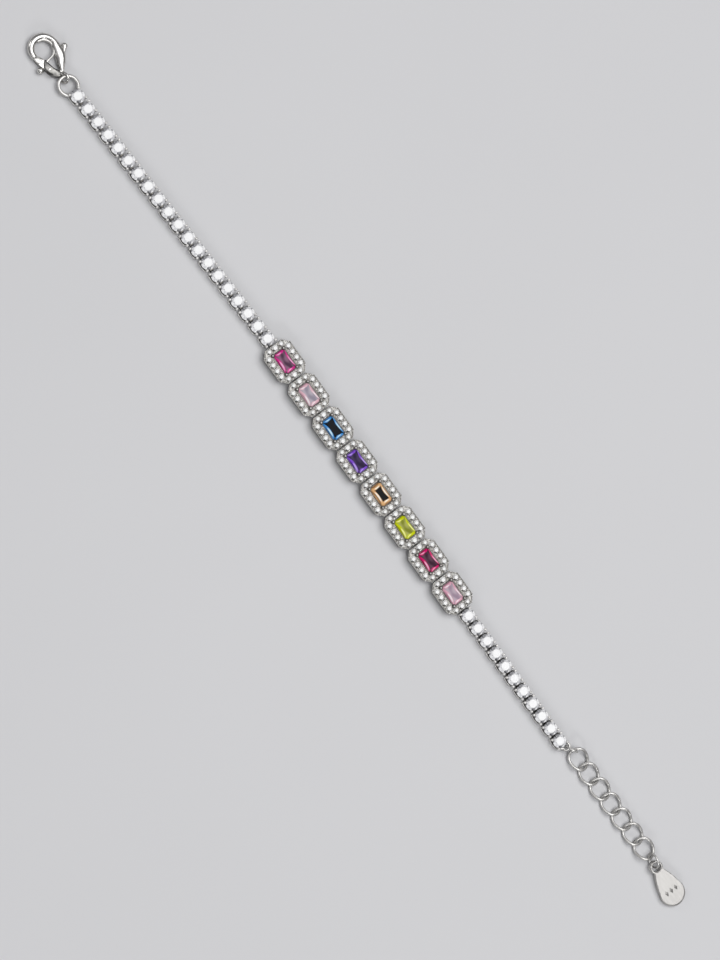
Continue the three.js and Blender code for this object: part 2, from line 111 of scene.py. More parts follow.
def turn_about_z(points: Points, heading: float) -> Points:
    """Turn points about +Z: x' = x cos - y sin, y' = x sin + y cos.

    Args:
        points: Places, one a row.
        heading: Angle in degrees.

    Returns:
        The turned places.
    """
    c, s = np.cos(np.radians(heading)), np.sin(np.radians(heading))
    return points @ np.array([[c, s, 0.0], [-s, c, 0.0], [0.0, 0.0, 1.0]])


def tilt_about_x(points: Points, angle: float) -> Points:
    """Turn points about +X by an angle in degrees."""
    c, s = np.cos(np.radians(angle)), np.sin(np.radians(angle))
    return points @ np.array([[1.0, 0.0, 0.0], [0.0, c, s], [0.0, -s, c]])


def tilt_about_y(points: Points, angle: float) -> Points:
    """Turn points about +Y by an angle in degrees."""
    c, s = np.cos(np.radians(angle)), np.sin(np.radians(angle))
    return points @ np.array([[c, 0.0, -s], [0.0, 1.0, 0.0], [s, 0.0, c]])


def at_height(places: Points, height: float) -> Points:
    """Level places given a height."""
    return np.column_stack([places, np.full(len(places), height)])


def on_circle(radius: float, angle: Points) -> Points:
    """Level places on a circle: radius x cos and radius x sin of each angle."""
    return np.column_stack([radius * np.cos(angle), radius * np.sin(angle)])


def skin(grid: Points, close_rows: bool = False, finish: int = 0) -> Surface:
    """Stretch four-sided faces over a grid of places whose columns run round.

    Face (r, c) joins grid places (r, c), (r, c+1), (r+1, c+1) and (r+1, c), and the last column
    joins the first. Where the rows don't close, a flat face shuts each end.

    Args:
        grid: Array of rows by columns by 3.
        close_rows: Whether the last row joins the first.
        finish: Finish number of the faces.

    Returns:
        The closed surface, facing outwards.
    """
    rows, columns = grid.shape[:2]
    number = np.arange(rows * columns).reshape(rows, columns)
    below = np.roll(number, -1, axis=0) if close_rows else number[1:]
    here = number if close_rows else number[:-1]
    quads = np.stack([here, np.roll(here, -1, 1), np.roll(below, -1, 1), below], -1)
    faces = [tuple(face) for face in quads.reshape(-1, 4).tolist()]
    if not close_rows:
        faces += [tuple(reversed(number[0].tolist())), tuple(number[-1].tolist())]
    return Surface(grid.reshape(-1, 3), faces, finish).outwards()


def smooth_path(knots: list[tuple[float, ...]] | Points, count: int,
                closed: bool = False) -> Points:
    """Catmull-Rom curve through the knots, evenly spaced in its parameter.

    Between knots b and c, with neighbours a and d, a place is
    0.5 (2b + (c - a) t + (2a - 5b + 4c - d) t^2 + (3b - a - 3c + d) t^3).

    Args:
        knots: Places that the curve passes through.
        count: Number of places returned.
        closed: Whether the curve comes back to its first knot.

    Returns:
        Array of count rows.
    """
    k = np.array(knots, float)
    if closed:
        k = np.vstack([k[-1:], k, k[:2]])
    else:
        k = np.vstack([2 * k[0] - k[1], k, 2 * k[-1] - k[-2]])
    spans = len(k) - 3
    share = np.linspace(0, spans, count, endpoint=not closed)
    i = np.minimum(share.astype(int), spans - 1)
    t = (share - i)[:, None]
    a, b, c, d = k[i], k[i + 1], k[i + 2], k[i + 3]
    return 0.5 * (2 * b + (c - a) * t + (2 * a - 5 * b + 4 * c - d) * t ** 2
                  + (3 * b - a - 3 * c + d) * t ** 3)


def oval(sides: int, power: float = 2.0) -> Points:
    """Corners of a unit superellipse, |x|^p + |y|^p = 1, one a row.

    Args:
        sides: Number of corners.
        power: Power p, 2 for an ellipse.

    Returns:
        Array of as many rows as there are sides.
    """
    angle = 2 * np.pi * (np.arange(sides) + 0.5) / sides
    c, s = np.cos(angle), np.sin(angle)
    return np.stack([np.sign(w) * np.abs(w) ** (2 / power) for w in (c, s)], 1)


def wire(path: Points, width: Points | float, height: Points | float, sides: int = 12,
         closed: bool = False, power: float = 2.0, rounding: int = 3) -> Surface:
    """Carry an oval section along a path that never stands upright.

    Across is up x tangent, the section's own up is tangent x across, and each corner is
    path + across width/2 x + up height/2 y. Open ends get rows that shrink as a cosine while
    they move out as a sine, so that the ends are round.

    Args:
        path: Middle of the bar, one place a row.
        width: Level size of the section, one value or one per place.
        height: Other size of the section, likewise.
        sides: Corners of the section.
        closed: Whether the path is a loop.
        power: Superellipse power of the section, 2 for an ellipse.
        rounding: Rows in each round end.

    Returns:
        A closed surface.
    """
    ahead = np.roll(path, -1, 0) - np.roll(path, 1, 0) if closed else np.gradient(path, axis=0)
    ahead /= np.linalg.norm(ahead, axis=1, keepdims=True)
    across = np.cross([0.0, 0.0, 1.0], ahead)
    across /= np.linalg.norm(across, axis=1, keepdims=True)
    up = np.cross(ahead, across)
    wide = np.broadcast_to(np.asarray(width, float) / 2, len(path))[:, None]
    high = np.broadcast_to(np.asarray(height, float) / 2, len(path))[:, None]
    if not closed and rounding:
        turn = np.linspace(0, np.pi / 2, rounding + 1)[1:] * 0.96
        shrink, out = np.cos(turn)[:, None], np.sin(turn)[:, None]
        size = min(wide[0, 0], high[0, 0]), min(wide[-1, 0], high[-1, 0])
        path = np.vstack([(path[0] - ahead[0] * out * size[0])[::-1], path,
                          path[-1] + ahead[-1] * out * size[1]])
        wide = np.vstack([(wide[0] * shrink)[::-1], wide, wide[-1] * shrink])
        high = np.vstack([(high[0] * shrink)[::-1], high, high[-1] * shrink])
        pad = ((rounding, rounding), (0, 0))
        across, up = np.pad(across, pad, mode="edge"), np.pad(up, pad, mode="edge")
    section = oval(sides, power)
    grid = (path[:, None] + across[:, None] * (wide * section[:, 0])[..., None]
            + up[:, None] * (high * section[:, 1])[..., None])
    return skin(grid, close_rows=closed)


def lathe(profile: list[tuple[float, float]], sides: int, lean: tuple[float, float] = (0.0, 0.0),
          finish: int = 0) -> Surface:
    """Turn a profile of (radius, height) pairs about +Z, leaning as it rises.

    Args:
        profile: Pairs from the foot to the head.
        sides: Number of sides.
        lean: Shift of the axis in x and y from the foot to the head.
        finish: Finish number of the faces.

    Returns:
        A closed surface.
    """
    radius, height = np.array(profile, float).T
    share = (height - height[0]) / max(np.ptp(height), 1e-6)
    angle = 2 * np.pi * (np.arange(sides) + 0.5) / sides
    x = radius[:, None] * np.cos(angle) + lean[0] * share[:, None]
    y = radius[:, None] * np.sin(angle) + lean[1] * share[:, None]
    z = np.broadcast_to(height[:, None], x.shape)
    return skin(np.stack([x, y, z], -1), finish=finish)


def ring(diameter: float, thickness: float, around: int = 48, sides: int = 12) -> Surface:
    """Plain wire ring lying level round the origin, (R + r cos v) out and r sin v up.

    Args:
        diameter: Outer diameter.
        thickness: Diameter of the wire.
        around: Places round the ring.
        sides: Corners of the wire's section.

    Returns:
        A closed surface.
    """
    angle = 2 * np.pi * np.arange(around) / around
    radius = (diameter - thickness) / 2
    return wire(at_height(on_circle(radius, angle), 0.0), thickness, thickness, sides, closed=True)


def inset(outline: Points, distance: float) -> Points:
    """Move each corner of a level outline inwards along the mean of its two edge normals.

    Args:
        outline: Corners in anticlockwise order, x and y.
        distance: How far the edges move in.

    Returns:
        The smaller outline.
    """
    edge = np.roll(outline, -1, 0) - outline
    edge /= np.linalg.norm(edge, axis=1, keepdims=True)
    normal = np.stack([-edge[:, 1], edge[:, 0]], 1)
    mean = normal + np.roll(normal, 1, 0)
    mean /= (mean ** 2).sum(1, keepdims=True)
    return outline + 2 * distance * mean


def plate(outline: Points, lower: float, upper: float, bevel: float) -> Surface:
    """Raise an outline from one height to another with a rounded edge above and below.

    Args:
        outline: Corners in anticlockwise order, x and y.
        lower: Height of the underside.
        upper: Height of the top.
        bevel: Radius of the edges.

    Returns:
        A closed surface.
    """
    turn = np.linspace(0, np.pi / 2, 4)
    rows = [(bevel * (1 - np.sin(t)), lower + bevel * (1 - np.cos(t))) for t in turn]
    rows += [(d, upper - (z - lower)) for d, z in reversed(rows)]
    return skin(np.array([at_height(inset(outline, d), z) for d, z in rows]))


def clipped(length: float, width: float, along: float, across: float, steps: int = 1) -> Points:
    """Anticlockwise corners of a rectangle with clipped corners.

    Args:
        length: Size in x.
        width: Size in y.
        along: Length clipped off in x.
        across: Length clipped off in y.
        steps: Places on each edge.

    Returns:
        Array of 8 x steps rows, starting at the right-hand end.
    """
    x, y = length / 2, width / 2
    corners = np.array([[x, -y + across], [x, y - across], [x - along, y], [-x + along, y],
                        [-x, y - across], [-x, -y + across], [-x + along, -y], [x - along, -y]])
    share = np.arange(steps)[None, :, None] / steps
    ahead = np.roll(corners, -1, 0)
    return (corners[:, None] + (ahead - corners)[:, None] * share).reshape(-1, 2)


class Graph:
    """Node tree in the making: adds nodes, and sets or links their inputs."""

    def __init__(self, tree: bpy.types.NodeTree) -> None:
        """Keep the tree's nodes and links."""
        self.nodes, self.links = tree.nodes, tree.links

    def feed(self, node: bpy.types.Node, inputs: dict[str | int, Value]) -> bpy.types.Node:
        """Link sockets to a node's inputs, and set numbers, vectors and colours on them.

        Args:
            node: The node that is fed.
            inputs: What goes into each input, by its name or number. A colour has three parts.

        Returns:
            The same node.
        """
        for key, value in inputs.items():
            socket = node.inputs[key]
            if isinstance(value, bpy.types.NodeSocket):
                self.links.new(value, socket)
            elif socket.type == "RGBA":
                socket.default_value = (*value, 1.0)
            else:
                socket.default_value = value
        return node

    def add(self, kind: str, inputs: dict[str | int, Value]) -> bpy.types.Node:
        """New shader node of a kind, with its inputs fed."""
        return self.feed(self.nodes.new(f"ShaderNode{kind}"), inputs)

    def math(self, operation: str, first: Value, second: Value = 0.0) -> bpy.types.NodeSocket:
        """Output of a math node fed by sockets or numbers.

        Args:
            operation: Name of the sum.
            first: First number.
            second: Second number.

        Returns:
            The result.
        """
        node = self.nodes.new("ShaderNodeMath")
        node.operation = operation
        return self.feed(node, {0: first, 1: second}).outputs[0]

    def mix(self, factor: Value, first: Value, second: Value) -> bpy.types.NodeSocket:
        """Blend of two colours: first x (1 - factor) + second x factor.

        Args:
            factor: Share of the second colour.
            first: First colour.
            second: Second colour.

        Returns:
            The blended colour.
        """
        node = self.nodes.new("ShaderNodeMix")
        node.data_type = "RGBA"
        return self.feed(node, {"Factor": factor, "A": first, "B": second}).outputs["Result"]

    def span(self, value: Value, low: float, high: float, to_low: float = 0.0,
             to_high: float = 1.0) -> bpy.types.NodeSocket:
        """Map a value from one range to another in a straight line, held at both ends.

        Args:
            value: The number that is mapped.
            low: Start of its range.
            high: End of its range.
            to_low: What the start gives.
            to_high: What the end gives.

        Returns:
            The mapped number.
        """
        return self.add("MapRange", {"Value": value, "From Min": low, "From Max": high,
                                     "To Min": to_low, "To Max": to_high}).outputs["Result"]

    def ramp(self, factor: Value, stops: list[tuple[float, Colour]]) -> bpy.types.NodeSocket:
        """Colour read from stops of position and colour, in straight lines between them.

        Args:
            factor: Position that is read.
            stops: Positions and colours, in order.

        Returns:
            The colour at that position.
        """
        node = self.add("ValToRGB", {"Fac": factor})
        elements = node.color_ramp.elements
        while len(elements) < len(stops):
            elements.new(0.5)
        for element, (position, colour) in zip(elements, stops):
            element.position = min(position, 1.0)
            element.color = (*colour, 1.0)
        return node.outputs["Color"]


def node_material(name: str) -> tuple[bpy.types.Material, Graph, bpy.types.Node]:
    """New node material, with its graph and its main shader.

    Args:
        name: Name of the material.

    Returns:
        The material, its graph and its main shader.
    """
    material = bpy.data.materials.new(name)
    material.use_nodes = True
    return material, Graph(material.node_tree), material.node_tree.nodes["Principled BSDF"]


@dataclass(frozen=True)
class PolishedSilver:
    """Rhodium-bright silver: mirror metal with faint wear that roughens it in places."""

    name: str
    colour: Colour
    shade: Colour
    roughness: tuple[float, float]
    metallic: float = 1.0
    grain: float = 900.0
    bump: float = 0.03
    bump_depth: float = 0.02
    # Painted shade: its colour, the height under which it darkens, and the normal's range for flanks.
    painted_shade_colour: Colour = (0.15, 0.145, 0.14)
    painted_shade_height: float = 0.25
    flank: tuple[float, float] = (-0.1, 0.62)

    def material(self) -> bpy.types.Material:
        """Metal whose colour, roughness and bump follow a noise on object coordinates.

        Painted shade darkens low places by a ramp on the height, and flanks and undersides by a
        ramp on the upward part of the normal.

        Returns:
            The new material.
        """
        material, graph, shader = node_material(self.name)
        where = graph.add("TexCoord", {}).outputs
        noise = graph.add("TexNoise", {"Scale": self.grain, "Detail": 4.0,
                                       "Vector": where["Object"]}).outputs["Fac"]
        relief = graph.add("Bump", {"Strength": self.bump, "Distance": self.bump_depth * MM,
                                    "Height": noise})
        height, rise = (graph.add("SeparateXYZ", {"Vector": where[kind]}).outputs["Z"]
                        for kind in ("Object", "Normal"))
        # Painted shade: the unshaded share falls low down and on flanks and undersides.
        unshaded = graph.math("MINIMUM", graph.span(height, 0.0, self.painted_shade_height * MM),
                           graph.span(rise, *self.flank))
        tone = graph.ramp(noise, [(0.3, self.shade), (0.62, self.colour)])
        dull, bright = self.roughness[1], self.roughness[0]
        graph.feed(shader, {
            "Base Color": graph.mix(unshaded, self.painted_shade_colour, tone),
            "Roughness": graph.span(noise, 0.0, 1.0, dull, bright),
            "Normal": relief.outputs["Normal"],
            "Metallic": self.metallic,
        })
        return material


class StonePattern(Enum):
    """Which pattern of painted light and shade shows under a stone's crown."""

    STARRED = "starred"
    KEELED = "keeled"


@dataclass(frozen=True)
class CutStone:
    """Cut stone with painted light and shade: a core colour under the table, brighter bands towards the
    girdle.
    """

    name: str
    # core: painted shade under the table, or a painted white reflection in a clear stone.
    # gleam and glint: the painted highlight; sheen: a painted pale reflection over the core.
    # rim and deep: bands of painted light and painted shade in the stone's own hue.
    rim: Colour
    deep: Colour
    core: Colour
    gleam: Colour
    pattern: StonePattern = StonePattern.KEELED
    edge: float = 0.95
    side_bow: float = 0.34
    end_bow: float = 0.20
    noise_scale: float = 1.3
    streaks: float = 0.12
    sheen: float = 0.25
    sheen_range: tuple[float, float] = (0.38, 0.66)
    sheen_lean: float = 0.12
    band_scale: float = 0.66
    border: float = 0.02
    glint: float = 1.6
    glint_at: float = 0.3
    wedges: float = 16.0
    cell_rows: float = 2.6
    cell_fade: float = 0.14
    roughness: float = 0.04
    ior: float = 1.45
    mirror: float = 0.07

    def material(self) -> bpy.types.Material:
        """Painted light and shade by where a place lies on the stone, whose UV map holds it from -1 to
        1.

        Returns:
            The new material.
        """
        material, graph, shader = node_material(self.name)
        uv_map = graph.add("UVMap", {})
        uv_map.uv_map = "cut"
        uv = uv_map.outputs["UV"]
        paint = self.keeled if self.pattern is StonePattern.KEELED else self.starred
        graph.feed(shader, {
            "Base Color": paint(graph, uv),
            "Roughness": self.roughness,
            "Specular IOR Level": self.mirror,
            "IOR": self.ior,
        })
        return material

    def keeled(self, graph: Graph, uv: bpy.types.NodeSocket) -> bpy.types.NodeSocket:
        """Painted shade in a waisted core, painted light in crescents beside it, a painted glint in
        each.

        The reach is the larger of |v| + side bow x (1 - u^2) and |u| + end bow x (1 - v^2),
        shifted by a noise on UV, and the core is where it stays under the edge.

        Args:
            graph: Node tree of the material.
            uv: Place on the stone.

        Returns:
            The colour.
        """
        split = graph.add("SeparateXYZ", {"Vector": uv})
        u, v = split.outputs["X"], split.outputs["Y"]
        bow, end = (graph.math("SUBTRACT", 1.0, graph.math("MULTIPLY", w, w)) for w in (u, v))
        side_reach = graph.math("ADD", graph.math("ABSOLUTE", v),
                                graph.math("MULTIPLY", bow, self.side_bow))
        end_reach = graph.math("ADD", graph.math("ABSOLUTE", u),
                               graph.math("MULTIPLY", end, self.end_bow))
        cloud = graph.add("TexNoise", {"Scale": self.noise_scale, "Detail": 0.0, "Vector": uv})
        cloud.noise_dimensions = "2D"
        noise = cloud.outputs["Fac"]
        shift = graph.math("MULTIPLY", graph.math("SUBTRACT", noise, 0.5), 2.0 * self.streaks)
        reach = graph.math("ADD", graph.math("MAXIMUM", side_reach, end_reach), shift)
        # Painted sheen: a pale reflection of the gleam colour laid over the core, leaning across it.
        leaning = graph.math("SUBTRACT", noise, graph.math("MULTIPLY", v, self.sheen_lean))
        pale = tuple(c + self.sheen * (g - c) for c, g in zip(self.core, self.gleam))
        heart = graph.mix(graph.span(leaning, *self.sheen_range), self.core, pale)
        # Painted light and shade in bands from the core's edge out to the girdle.
        stops = [(0.02, self.rim), (0.20, self.rim), (0.33, self.deep), (0.45, self.rim)]
        bands = graph.ramp(graph.math("MULTIPLY", reach, self.band_scale),
                           [(self.band_scale * (self.edge + beyond), c) for beyond, c in stops])
        border = graph.span(reach, self.edge - self.border, self.edge + self.border)
        colour = graph.mix(border, heart, bands)
        # Painted highlights: a glint in each side crescent and a fainter one in each end.
        for place, beyond, wide, run, strength in (
                (side_reach, 0.15, 0.14, (graph.math("SUBTRACT", u, self.glint_at), 0.55), 1.0),
                (end_reach, 0.09, 0.07, (graph.math("ADD", v, self.glint_at), 0.5), 0.7)):
            across = graph.math("DIVIDE", graph.math("SUBTRACT", place, self.edge + beyond), wide)
            along = graph.math("DIVIDE", *run)
            spread = graph.math("ADD", graph.math("MULTIPLY", along, along),
                                graph.math("MULTIPLY", across, across))
            factor = graph.math("MULTIPLY", graph.math("SUBTRACT", 1.0, spread),
                                strength * self.glint)
            colour = graph.mix(factor, colour, self.gleam)
        return colour

    def starred(self, graph: Graph, uv: bpy.types.NodeSocket) -> bpy.types.NodeSocket:
        """Bright core of painted reflection up to the edge's radius, painted light and shade in cells
        beyond.

        The cells lie on the angle times wedges / 2 pi and the radius times cell rows.

        Args:
            graph: Node tree of the material.
            uv: Place on the stone.

        Returns:
            The colour.
        """
        split = graph.add("SeparateXYZ", {"Vector": uv})
        u, v = split.outputs["X"], split.outputs["Y"]
        squares = (graph.math("MULTIPLY", w, w) for w in (u, v))
        radius = graph.math("SQRT", graph.math("ADD", *squares))
        turns = graph.math("MULTIPLY", graph.math("ARCTAN2", v, u), self.wedges / (2 * np.pi))
        place = graph.add("CombineXYZ", {"X": turns,
                                         "Y": graph.math("MULTIPLY", radius, self.cell_rows)})
        cells = graph.nodes.new("ShaderNodeTexVoronoi")
        cells.voronoi_dimensions = "2D"
        graph.feed(cells, {"Scale": 1.0, "Vector": place.outputs["Vector"]})
        level = graph.add("SeparateXYZ", {"Vector": cells.outputs["Color"]}).outputs["X"]
        facets = graph.ramp(level, [(0.12, self.deep), (0.34, self.rim), (0.58, self.gleam),
                                    (0.8, self.core)])
        outside = graph.span(radius, self.edge, self.edge + self.cell_fade)
        return graph.mix(outside, self.core, facets)


@dataclass(frozen=True)
class SatinSilver:
    """Face of the drop: pale warm metal with a fine satin grain along its length."""

    name: str = "satin_silver"
    colour: Colour = (0.52, 0.508, 0.49)
    roughness: float = 0.40
    grain: tuple[float, float, float] = (600.0, 6000.0, 600.0)
    darkening: float = 0.88
    bump: float = 0.12
    bump_depth: float = 0.02

    def material(self) -> bpy.types.Material:
        """Metal with a stretched noise for its satin grain, in colour and in bump.

        Returns:
            The new material.
        """
        material, graph, shader = node_material(self.name)
        where = graph.add("TexCoord", {}).outputs["Object"]
        stretched = graph.add("Mapping", {"Scale": self.grain, "Vector": where})
        noise = graph.add("TexNoise", {"Scale": 1.0, "Detail": 3.0,
                                       "Vector": stretched.outputs["Vector"]}).outputs["Fac"]
        relief = graph.add("Bump", {"Strength": self.bump, "Distance": self.bump_depth * MM,
                                    "Height": noise})
        darker = tuple(self.darkening * c for c in self.colour)
        graph.feed(shader, {
            "Base Color": graph.ramp(noise, [(0.3, darker), (0.7, self.colour)]),
            "Normal": relief.outputs["Normal"],
            "Metallic": 1.0,
            "Roughness": self.roughness,
        })
        return material


@dataclass(frozen=True)
class PaleFloor:
    """Matt pale table top with a very faint mottle."""

    name: str = "pale_floor"
    colour: Colour = (0.66, 0.66, 0.67)
    mottle_scale: float = 12.0
    roughness: float = 0.7

    def material(self) -> bpy.types.Material:
        """Diffuse surface whose colour varies by about one part in fifty.

        Returns:
            The new material.
        """
        material, graph, shader = node_material(self.name)
        where = graph.add("TexCoord", {}).outputs["Object"]
        noise = graph.add("TexNoise", {"Scale": self.mottle_scale, "Vector": where})
        darker = tuple(0.98 * c for c in self.colour)
        graph.feed(shader, {
            "Base Color": graph.ramp(noise.outputs["Fac"], [(0.3, darker), (0.7, self.colour)]),
            "Roughness": self.roughness,
        })
        return material


class Finishes:
    """The bracelet's materials, each made once and shared by the pieces that wear it."""

    def __init__(self) -> None:
        """Make every material."""
        # Each PolishedSilver below paints shade on its low places, flanks and undersides.
        self.pave_silver = PolishedSilver(
            name="pave_silver", colour=(0.66, 0.645, 0.615), shade=(0.42, 0.41, 0.385),
            roughness=(0.16, 0.30), grain=1800.0, bump=0.10,
        ).material()
        # Darker copy of the silver for gaps, baskets and hinges: painted shade.
        self.painted_shade = PolishedSilver(
            name="painted_shade_silver", colour=(0.19, 0.182, 0.168), shade=(0.085, 0.081, 0.076),
            roughness=(0.30, 0.46), grain=2400.0, bump=0.25,
        ).material()
        self.brushed = PolishedSilver(
            name="brushed_silver", colour=(0.24, 0.235, 0.225), shade=(0.10, 0.098, 0.093),
            roughness=(0.26, 0.38), grain=1500.0, bump=0.35,
        ).material()
        self.bead_silver = PolishedSilver(
            name="bead_silver", colour=(0.90, 0.885, 0.86), shade=(0.80, 0.785, 0.76),
            roughness=(0.34, 0.40), flank=(-0.5, 0.4), painted_shade_height=0.12, metallic=0.6,
        ).material()
        self.clasp_silver = PolishedSilver(
            name="clasp_silver", colour=(0.76, 0.745, 0.72), shade=(0.64, 0.625, 0.60),
            roughness=(0.20, 0.27), painted_shade_colour=(0.22, 0.215, 0.20), flank=(-0.3, 0.6),
            metallic=0.9,
        ).material()
        # Near-black copy of the silver: painted shade on the prong collars.
        self.near_black_shade_silver = PolishedSilver(
            name="near_black_shade_silver", colour=(0.05, 0.048, 0.045), shade=(0.022, 0.021, 0.02),
            roughness=(0.35, 0.45),
        ).material()
        self.wire_silver = PolishedSilver(
            name="wire_silver", colour=(0.70, 0.69, 0.67), shade=(0.60, 0.585, 0.56),
            roughness=(0.36, 0.42), painted_shade_colour=(0.20, 0.195, 0.18), flank=(-0.3, 0.55),
            painted_shade_height=0.12, metallic=0.8,
        ).material()
        self.satin = SatinSilver().material()
        # Clear stones: a painted white reflection as the core, and painted facets of light and shade.
        self.clear = CutStone(
            "clear_stone", rim=(0.36, 0.36, 0.375), deep=(0.13, 0.13, 0.14), core=(0.98, 0.98, 0.98),
            gleam=(0.70, 0.70, 0.72), pattern=StonePattern.STARRED, edge=0.54, ior=1.5, mirror=0.12,
        ).material()
        self.small_clear = CutStone(
            "small_clear_stone", rim=(0.20, 0.195, 0.19), deep=(0.045, 0.044, 0.042),
            core=(0.97, 0.97, 0.96), gleam=(0.50, 0.49, 0.48), pattern=StonePattern.STARRED,
            edge=0.50, wedges=9.0, ior=1.5, mirror=0.15,
        ).material()
        self.floor = PaleFloor().material()


def make_piece(name: str, parts: list[Surface], materials: list[bpy.types.Material],
               shading: Shading) -> bpy.types.Object:
    """Join surfaces into one Blender piece that sits at the origin.

    Args:
        name: Name of the piece.
        parts: Closed surfaces in millimetres, in place.
        materials: Materials, by finish number.
        shading: How its edges are shaded.

    Returns:
        The new object.
    """
    starts = np.cumsum([0] + [len(part.points) for part in parts])
    points = np.vstack([part.points for part in parts]) * MM
    faces = [tuple(i + start for i in face)
             for part, start in zip(parts, starts.tolist()) for face in part.faces]
    mesh = bpy.data.meshes.new(name)
    mesh.from_pydata(points.tolist(), [], faces)
    finishes = np.concatenate([np.full(len(part.faces), part.finish) for part in parts])
    for material in materials:
        mesh.materials.append(material)
    mesh.polygons.foreach_set("material_index", finishes.astype(np.int32))
    if any(part.uv is not None for part in parts):
        flat = np.vstack([part.uv if part.uv is not None else np.zeros((len(part.points), 2))
                          for part in parts])
        corner = np.empty(len(mesh.loops), np.int32)
        mesh.loops.foreach_get("vertex_index", corner)
        layer = mesh.uv_layers.new(name="cut")
        layer.data.foreach_set("uv", flat[corner].astype(np.float32).ravel())
    mesh.shade_smooth()
    mesh.set_sharp_from_angle(angle=np.radians(shading.value))
    mesh.validate()
    piece = bpy.data.objects.new(name, mesh)
    bpy.context.scene.collection.objects.link(piece)
    return piece


def dress(piece: bpy.types.Object, body: str, nodes: list[str]) -> None:
    """Let a piece ride on a body and stand for its nodes, and report it.

    Args:
        piece: The piece.
        body: Body that it moves with.
        nodes: Nodes of the solid part that it replaces, if any.
    """
    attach(piece, body)
    if nodes:
        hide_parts(*nodes)
    LOG.info("%s: %d faces, on %s, for %s", piece.name, len(piece.data.polygons), body,
             ", ".join(nodes) or "no node")


@dataclass
class Cut:
    """Sizes of a cut stone, in millimetres."""

    length: float
    width: float
    girdle: float
    crown: float
    depth: float
    table: float = 0.56
    star: float = 0.8
    star_height: float = 0.55
    girdle_band: float = 0.05
    culet: float = 0.45

    def level_uv(self, points: Points) -> Points:
        """The stone's own level coordinates, from -1 to 1 over its length and width."""
        return points[:, :2] / np.array([self.length / 2, self.width / 2])

    def round_brilliant(self) -> Surface:
        """Round brilliant: octagonal table, 8 stars, 8 kites and 16 girdle facets.

        Table corners are at the table's share of R, star tips at the star's share half a step
        further round, part way up the crown, and sixteen girdle corners at R. The pavilion
        runs to a culet.

        Returns:
            The stone, centred on the origin in x and y.
        """
        eighth = 2 * np.pi * np.arange(8) / 8
        sixteenth = 2 * np.pi * np.arange(16) / 16
        r = self.length / 2
        points = np.vstack([
            at_height(on_circle(r * self.table, eighth), self.girdle + self.crown),
            at_height(on_circle(r * self.star, eighth + np.pi / 8),
                      self.girdle + self.crown * self.star_height),
            at_height(on_circle(r, sixteenth), self.girdle),
            at_height(on_circle(r, sixteenth), self.girdle - self.girdle_band),
            [[0.0, 0.0, self.girdle - self.depth]],
        ])
        faces: Faces = [tuple(range(8))]
        for i in range(8):
            j, before = (i + 1) % 8, 8 + (i - 1) % 8
            tip, g = 8 + i, 16 + 2 * i
            after, last = 16 + 2 * i + 1, 16 + (2 * i + 2) % 16
            faces += [(i, tip, j), (i, before, g, tip), (tip, g, after), (tip, after, last)]
        for i in range(16):
            a, b = 16 + i, 16 + (i + 1) % 16
            faces += [(a, a + 16, b + 16, b), (a + 16, 48, b + 16)]
        return Surface(points, faces, uv=self.level_uv(points)).outwards()

    def small_brilliant(self) -> Surface:
        """Eight-sided stone of a table, eight crown facets and a short pavilion.

        Returns:
            The stone, centred on the origin in x and y.
        """
        r = self.length / 2
        stone = lathe([(r * self.culet, self.girdle - self.depth), (r, self.girdle),
                       (r * self.table, self.girdle + self.crown)], 8)
        stone.uv = self.level_uv(stone.points)
        return stone

    def emerald(self, corner: float) -> Surface:
        """Emerald cut: clipped rectangles stepped up to the table and down to a keel.

        Each row is a height and two shares, of the stone's length and of its width.

        Args:
            corner: Length clipped off each corner.

        Returns:
            The stone, centred on the origin in x and y.
        """
        rows = [
            (-self.depth, 0.52, 0.14), (-self.depth * 0.72, 0.7, 0.5),
            (-self.depth * 0.4, 0.86, 0.78), (-0.07, 1.0, 1.0), (0.0, 1.0, 1.0),
            (self.crown * 0.45, 0.94, 0.89), (self.crown * 0.8, 0.86, 0.75),
            (self.crown, 0.77, 0.6),
        ]
        stone = skin(np.array([
            at_height(clipped(self.length * x, self.width * y, corner * x, corner * y),
                      self.girdle + height) for height, x, y in rows
        ]))
        stone.uv = self.level_uv(stone.points)
        return stone


@dataclass
class Place:
    """Where a link lies: the place of its middle and its heading in degrees."""

    x: float
    y: float
    heading: float

    def ahead(self, along: float, across: float = 0.0) -> tuple[float, float]:
        """Level place at a distance along and across the heading."""
        turn = np.radians(self.heading)
        return (self.x + along * np.cos(turn) - across * np.sin(turn),
                self.y + along * np.sin(turn) + across * np.cos(turn))

    def put(self, surface: Surface, height: float = 0.0) -> Surface:
        """The surface turned and moved to this place."""
        return surface.turned(self.heading).moved((self.x, self.y, height))


@dataclass
class Lay:
    """Places of all the links, carried one after another along the bracelet."""

    before: int = 20
    halos: int = 8
    after: int = 11
    round_pitch: float = 3.0
    halo_pitch: float = 7.75
    heading_before: float = 2.0
    heading_halo: float = -0.2
    heading_after: float = 0.0
    heading_clasp: float = -7.0
    heading_drop: float = -2.4
    rounds: list[Place] = field(default_factory=list)
    settings: list[Place] = field(default_factory=list)

    def __post_init__(self) -> None:
        """Walk along the links, half a pitch on each side of every hinge."""
        kinds = ([(self.round_pitch, self.heading_before)] * self.before
                 + [(self.halo_pitch, self.heading_halo)] * self.halos
                 + [(self.round_pitch, self.heading_after)] * self.after)
        here = Place(0.0, 0.0, self.heading_before)
        places = [here]
        for (pitch, _), (next_pitch, heading) in zip(kinds, kinds[1:]):
            middle = Place(*here.ahead(pitch / 2), heading)
            here = Place(*middle.ahead(next_pitch / 2), heading)
            places.append(here)
        stone = np.mean(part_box("centre_stone_1"), axis=0) / MM
        first, end = places[self.before], self.before + self.halos
        shift = stone[0] - first.x, stone[1] - first.y
        places = [Place(p.x + shift[0], p.y + shift[1], p.heading) for p in places]
        self.rounds = places[:self.before] + places[end:]
        self.settings = places[self.before:end]


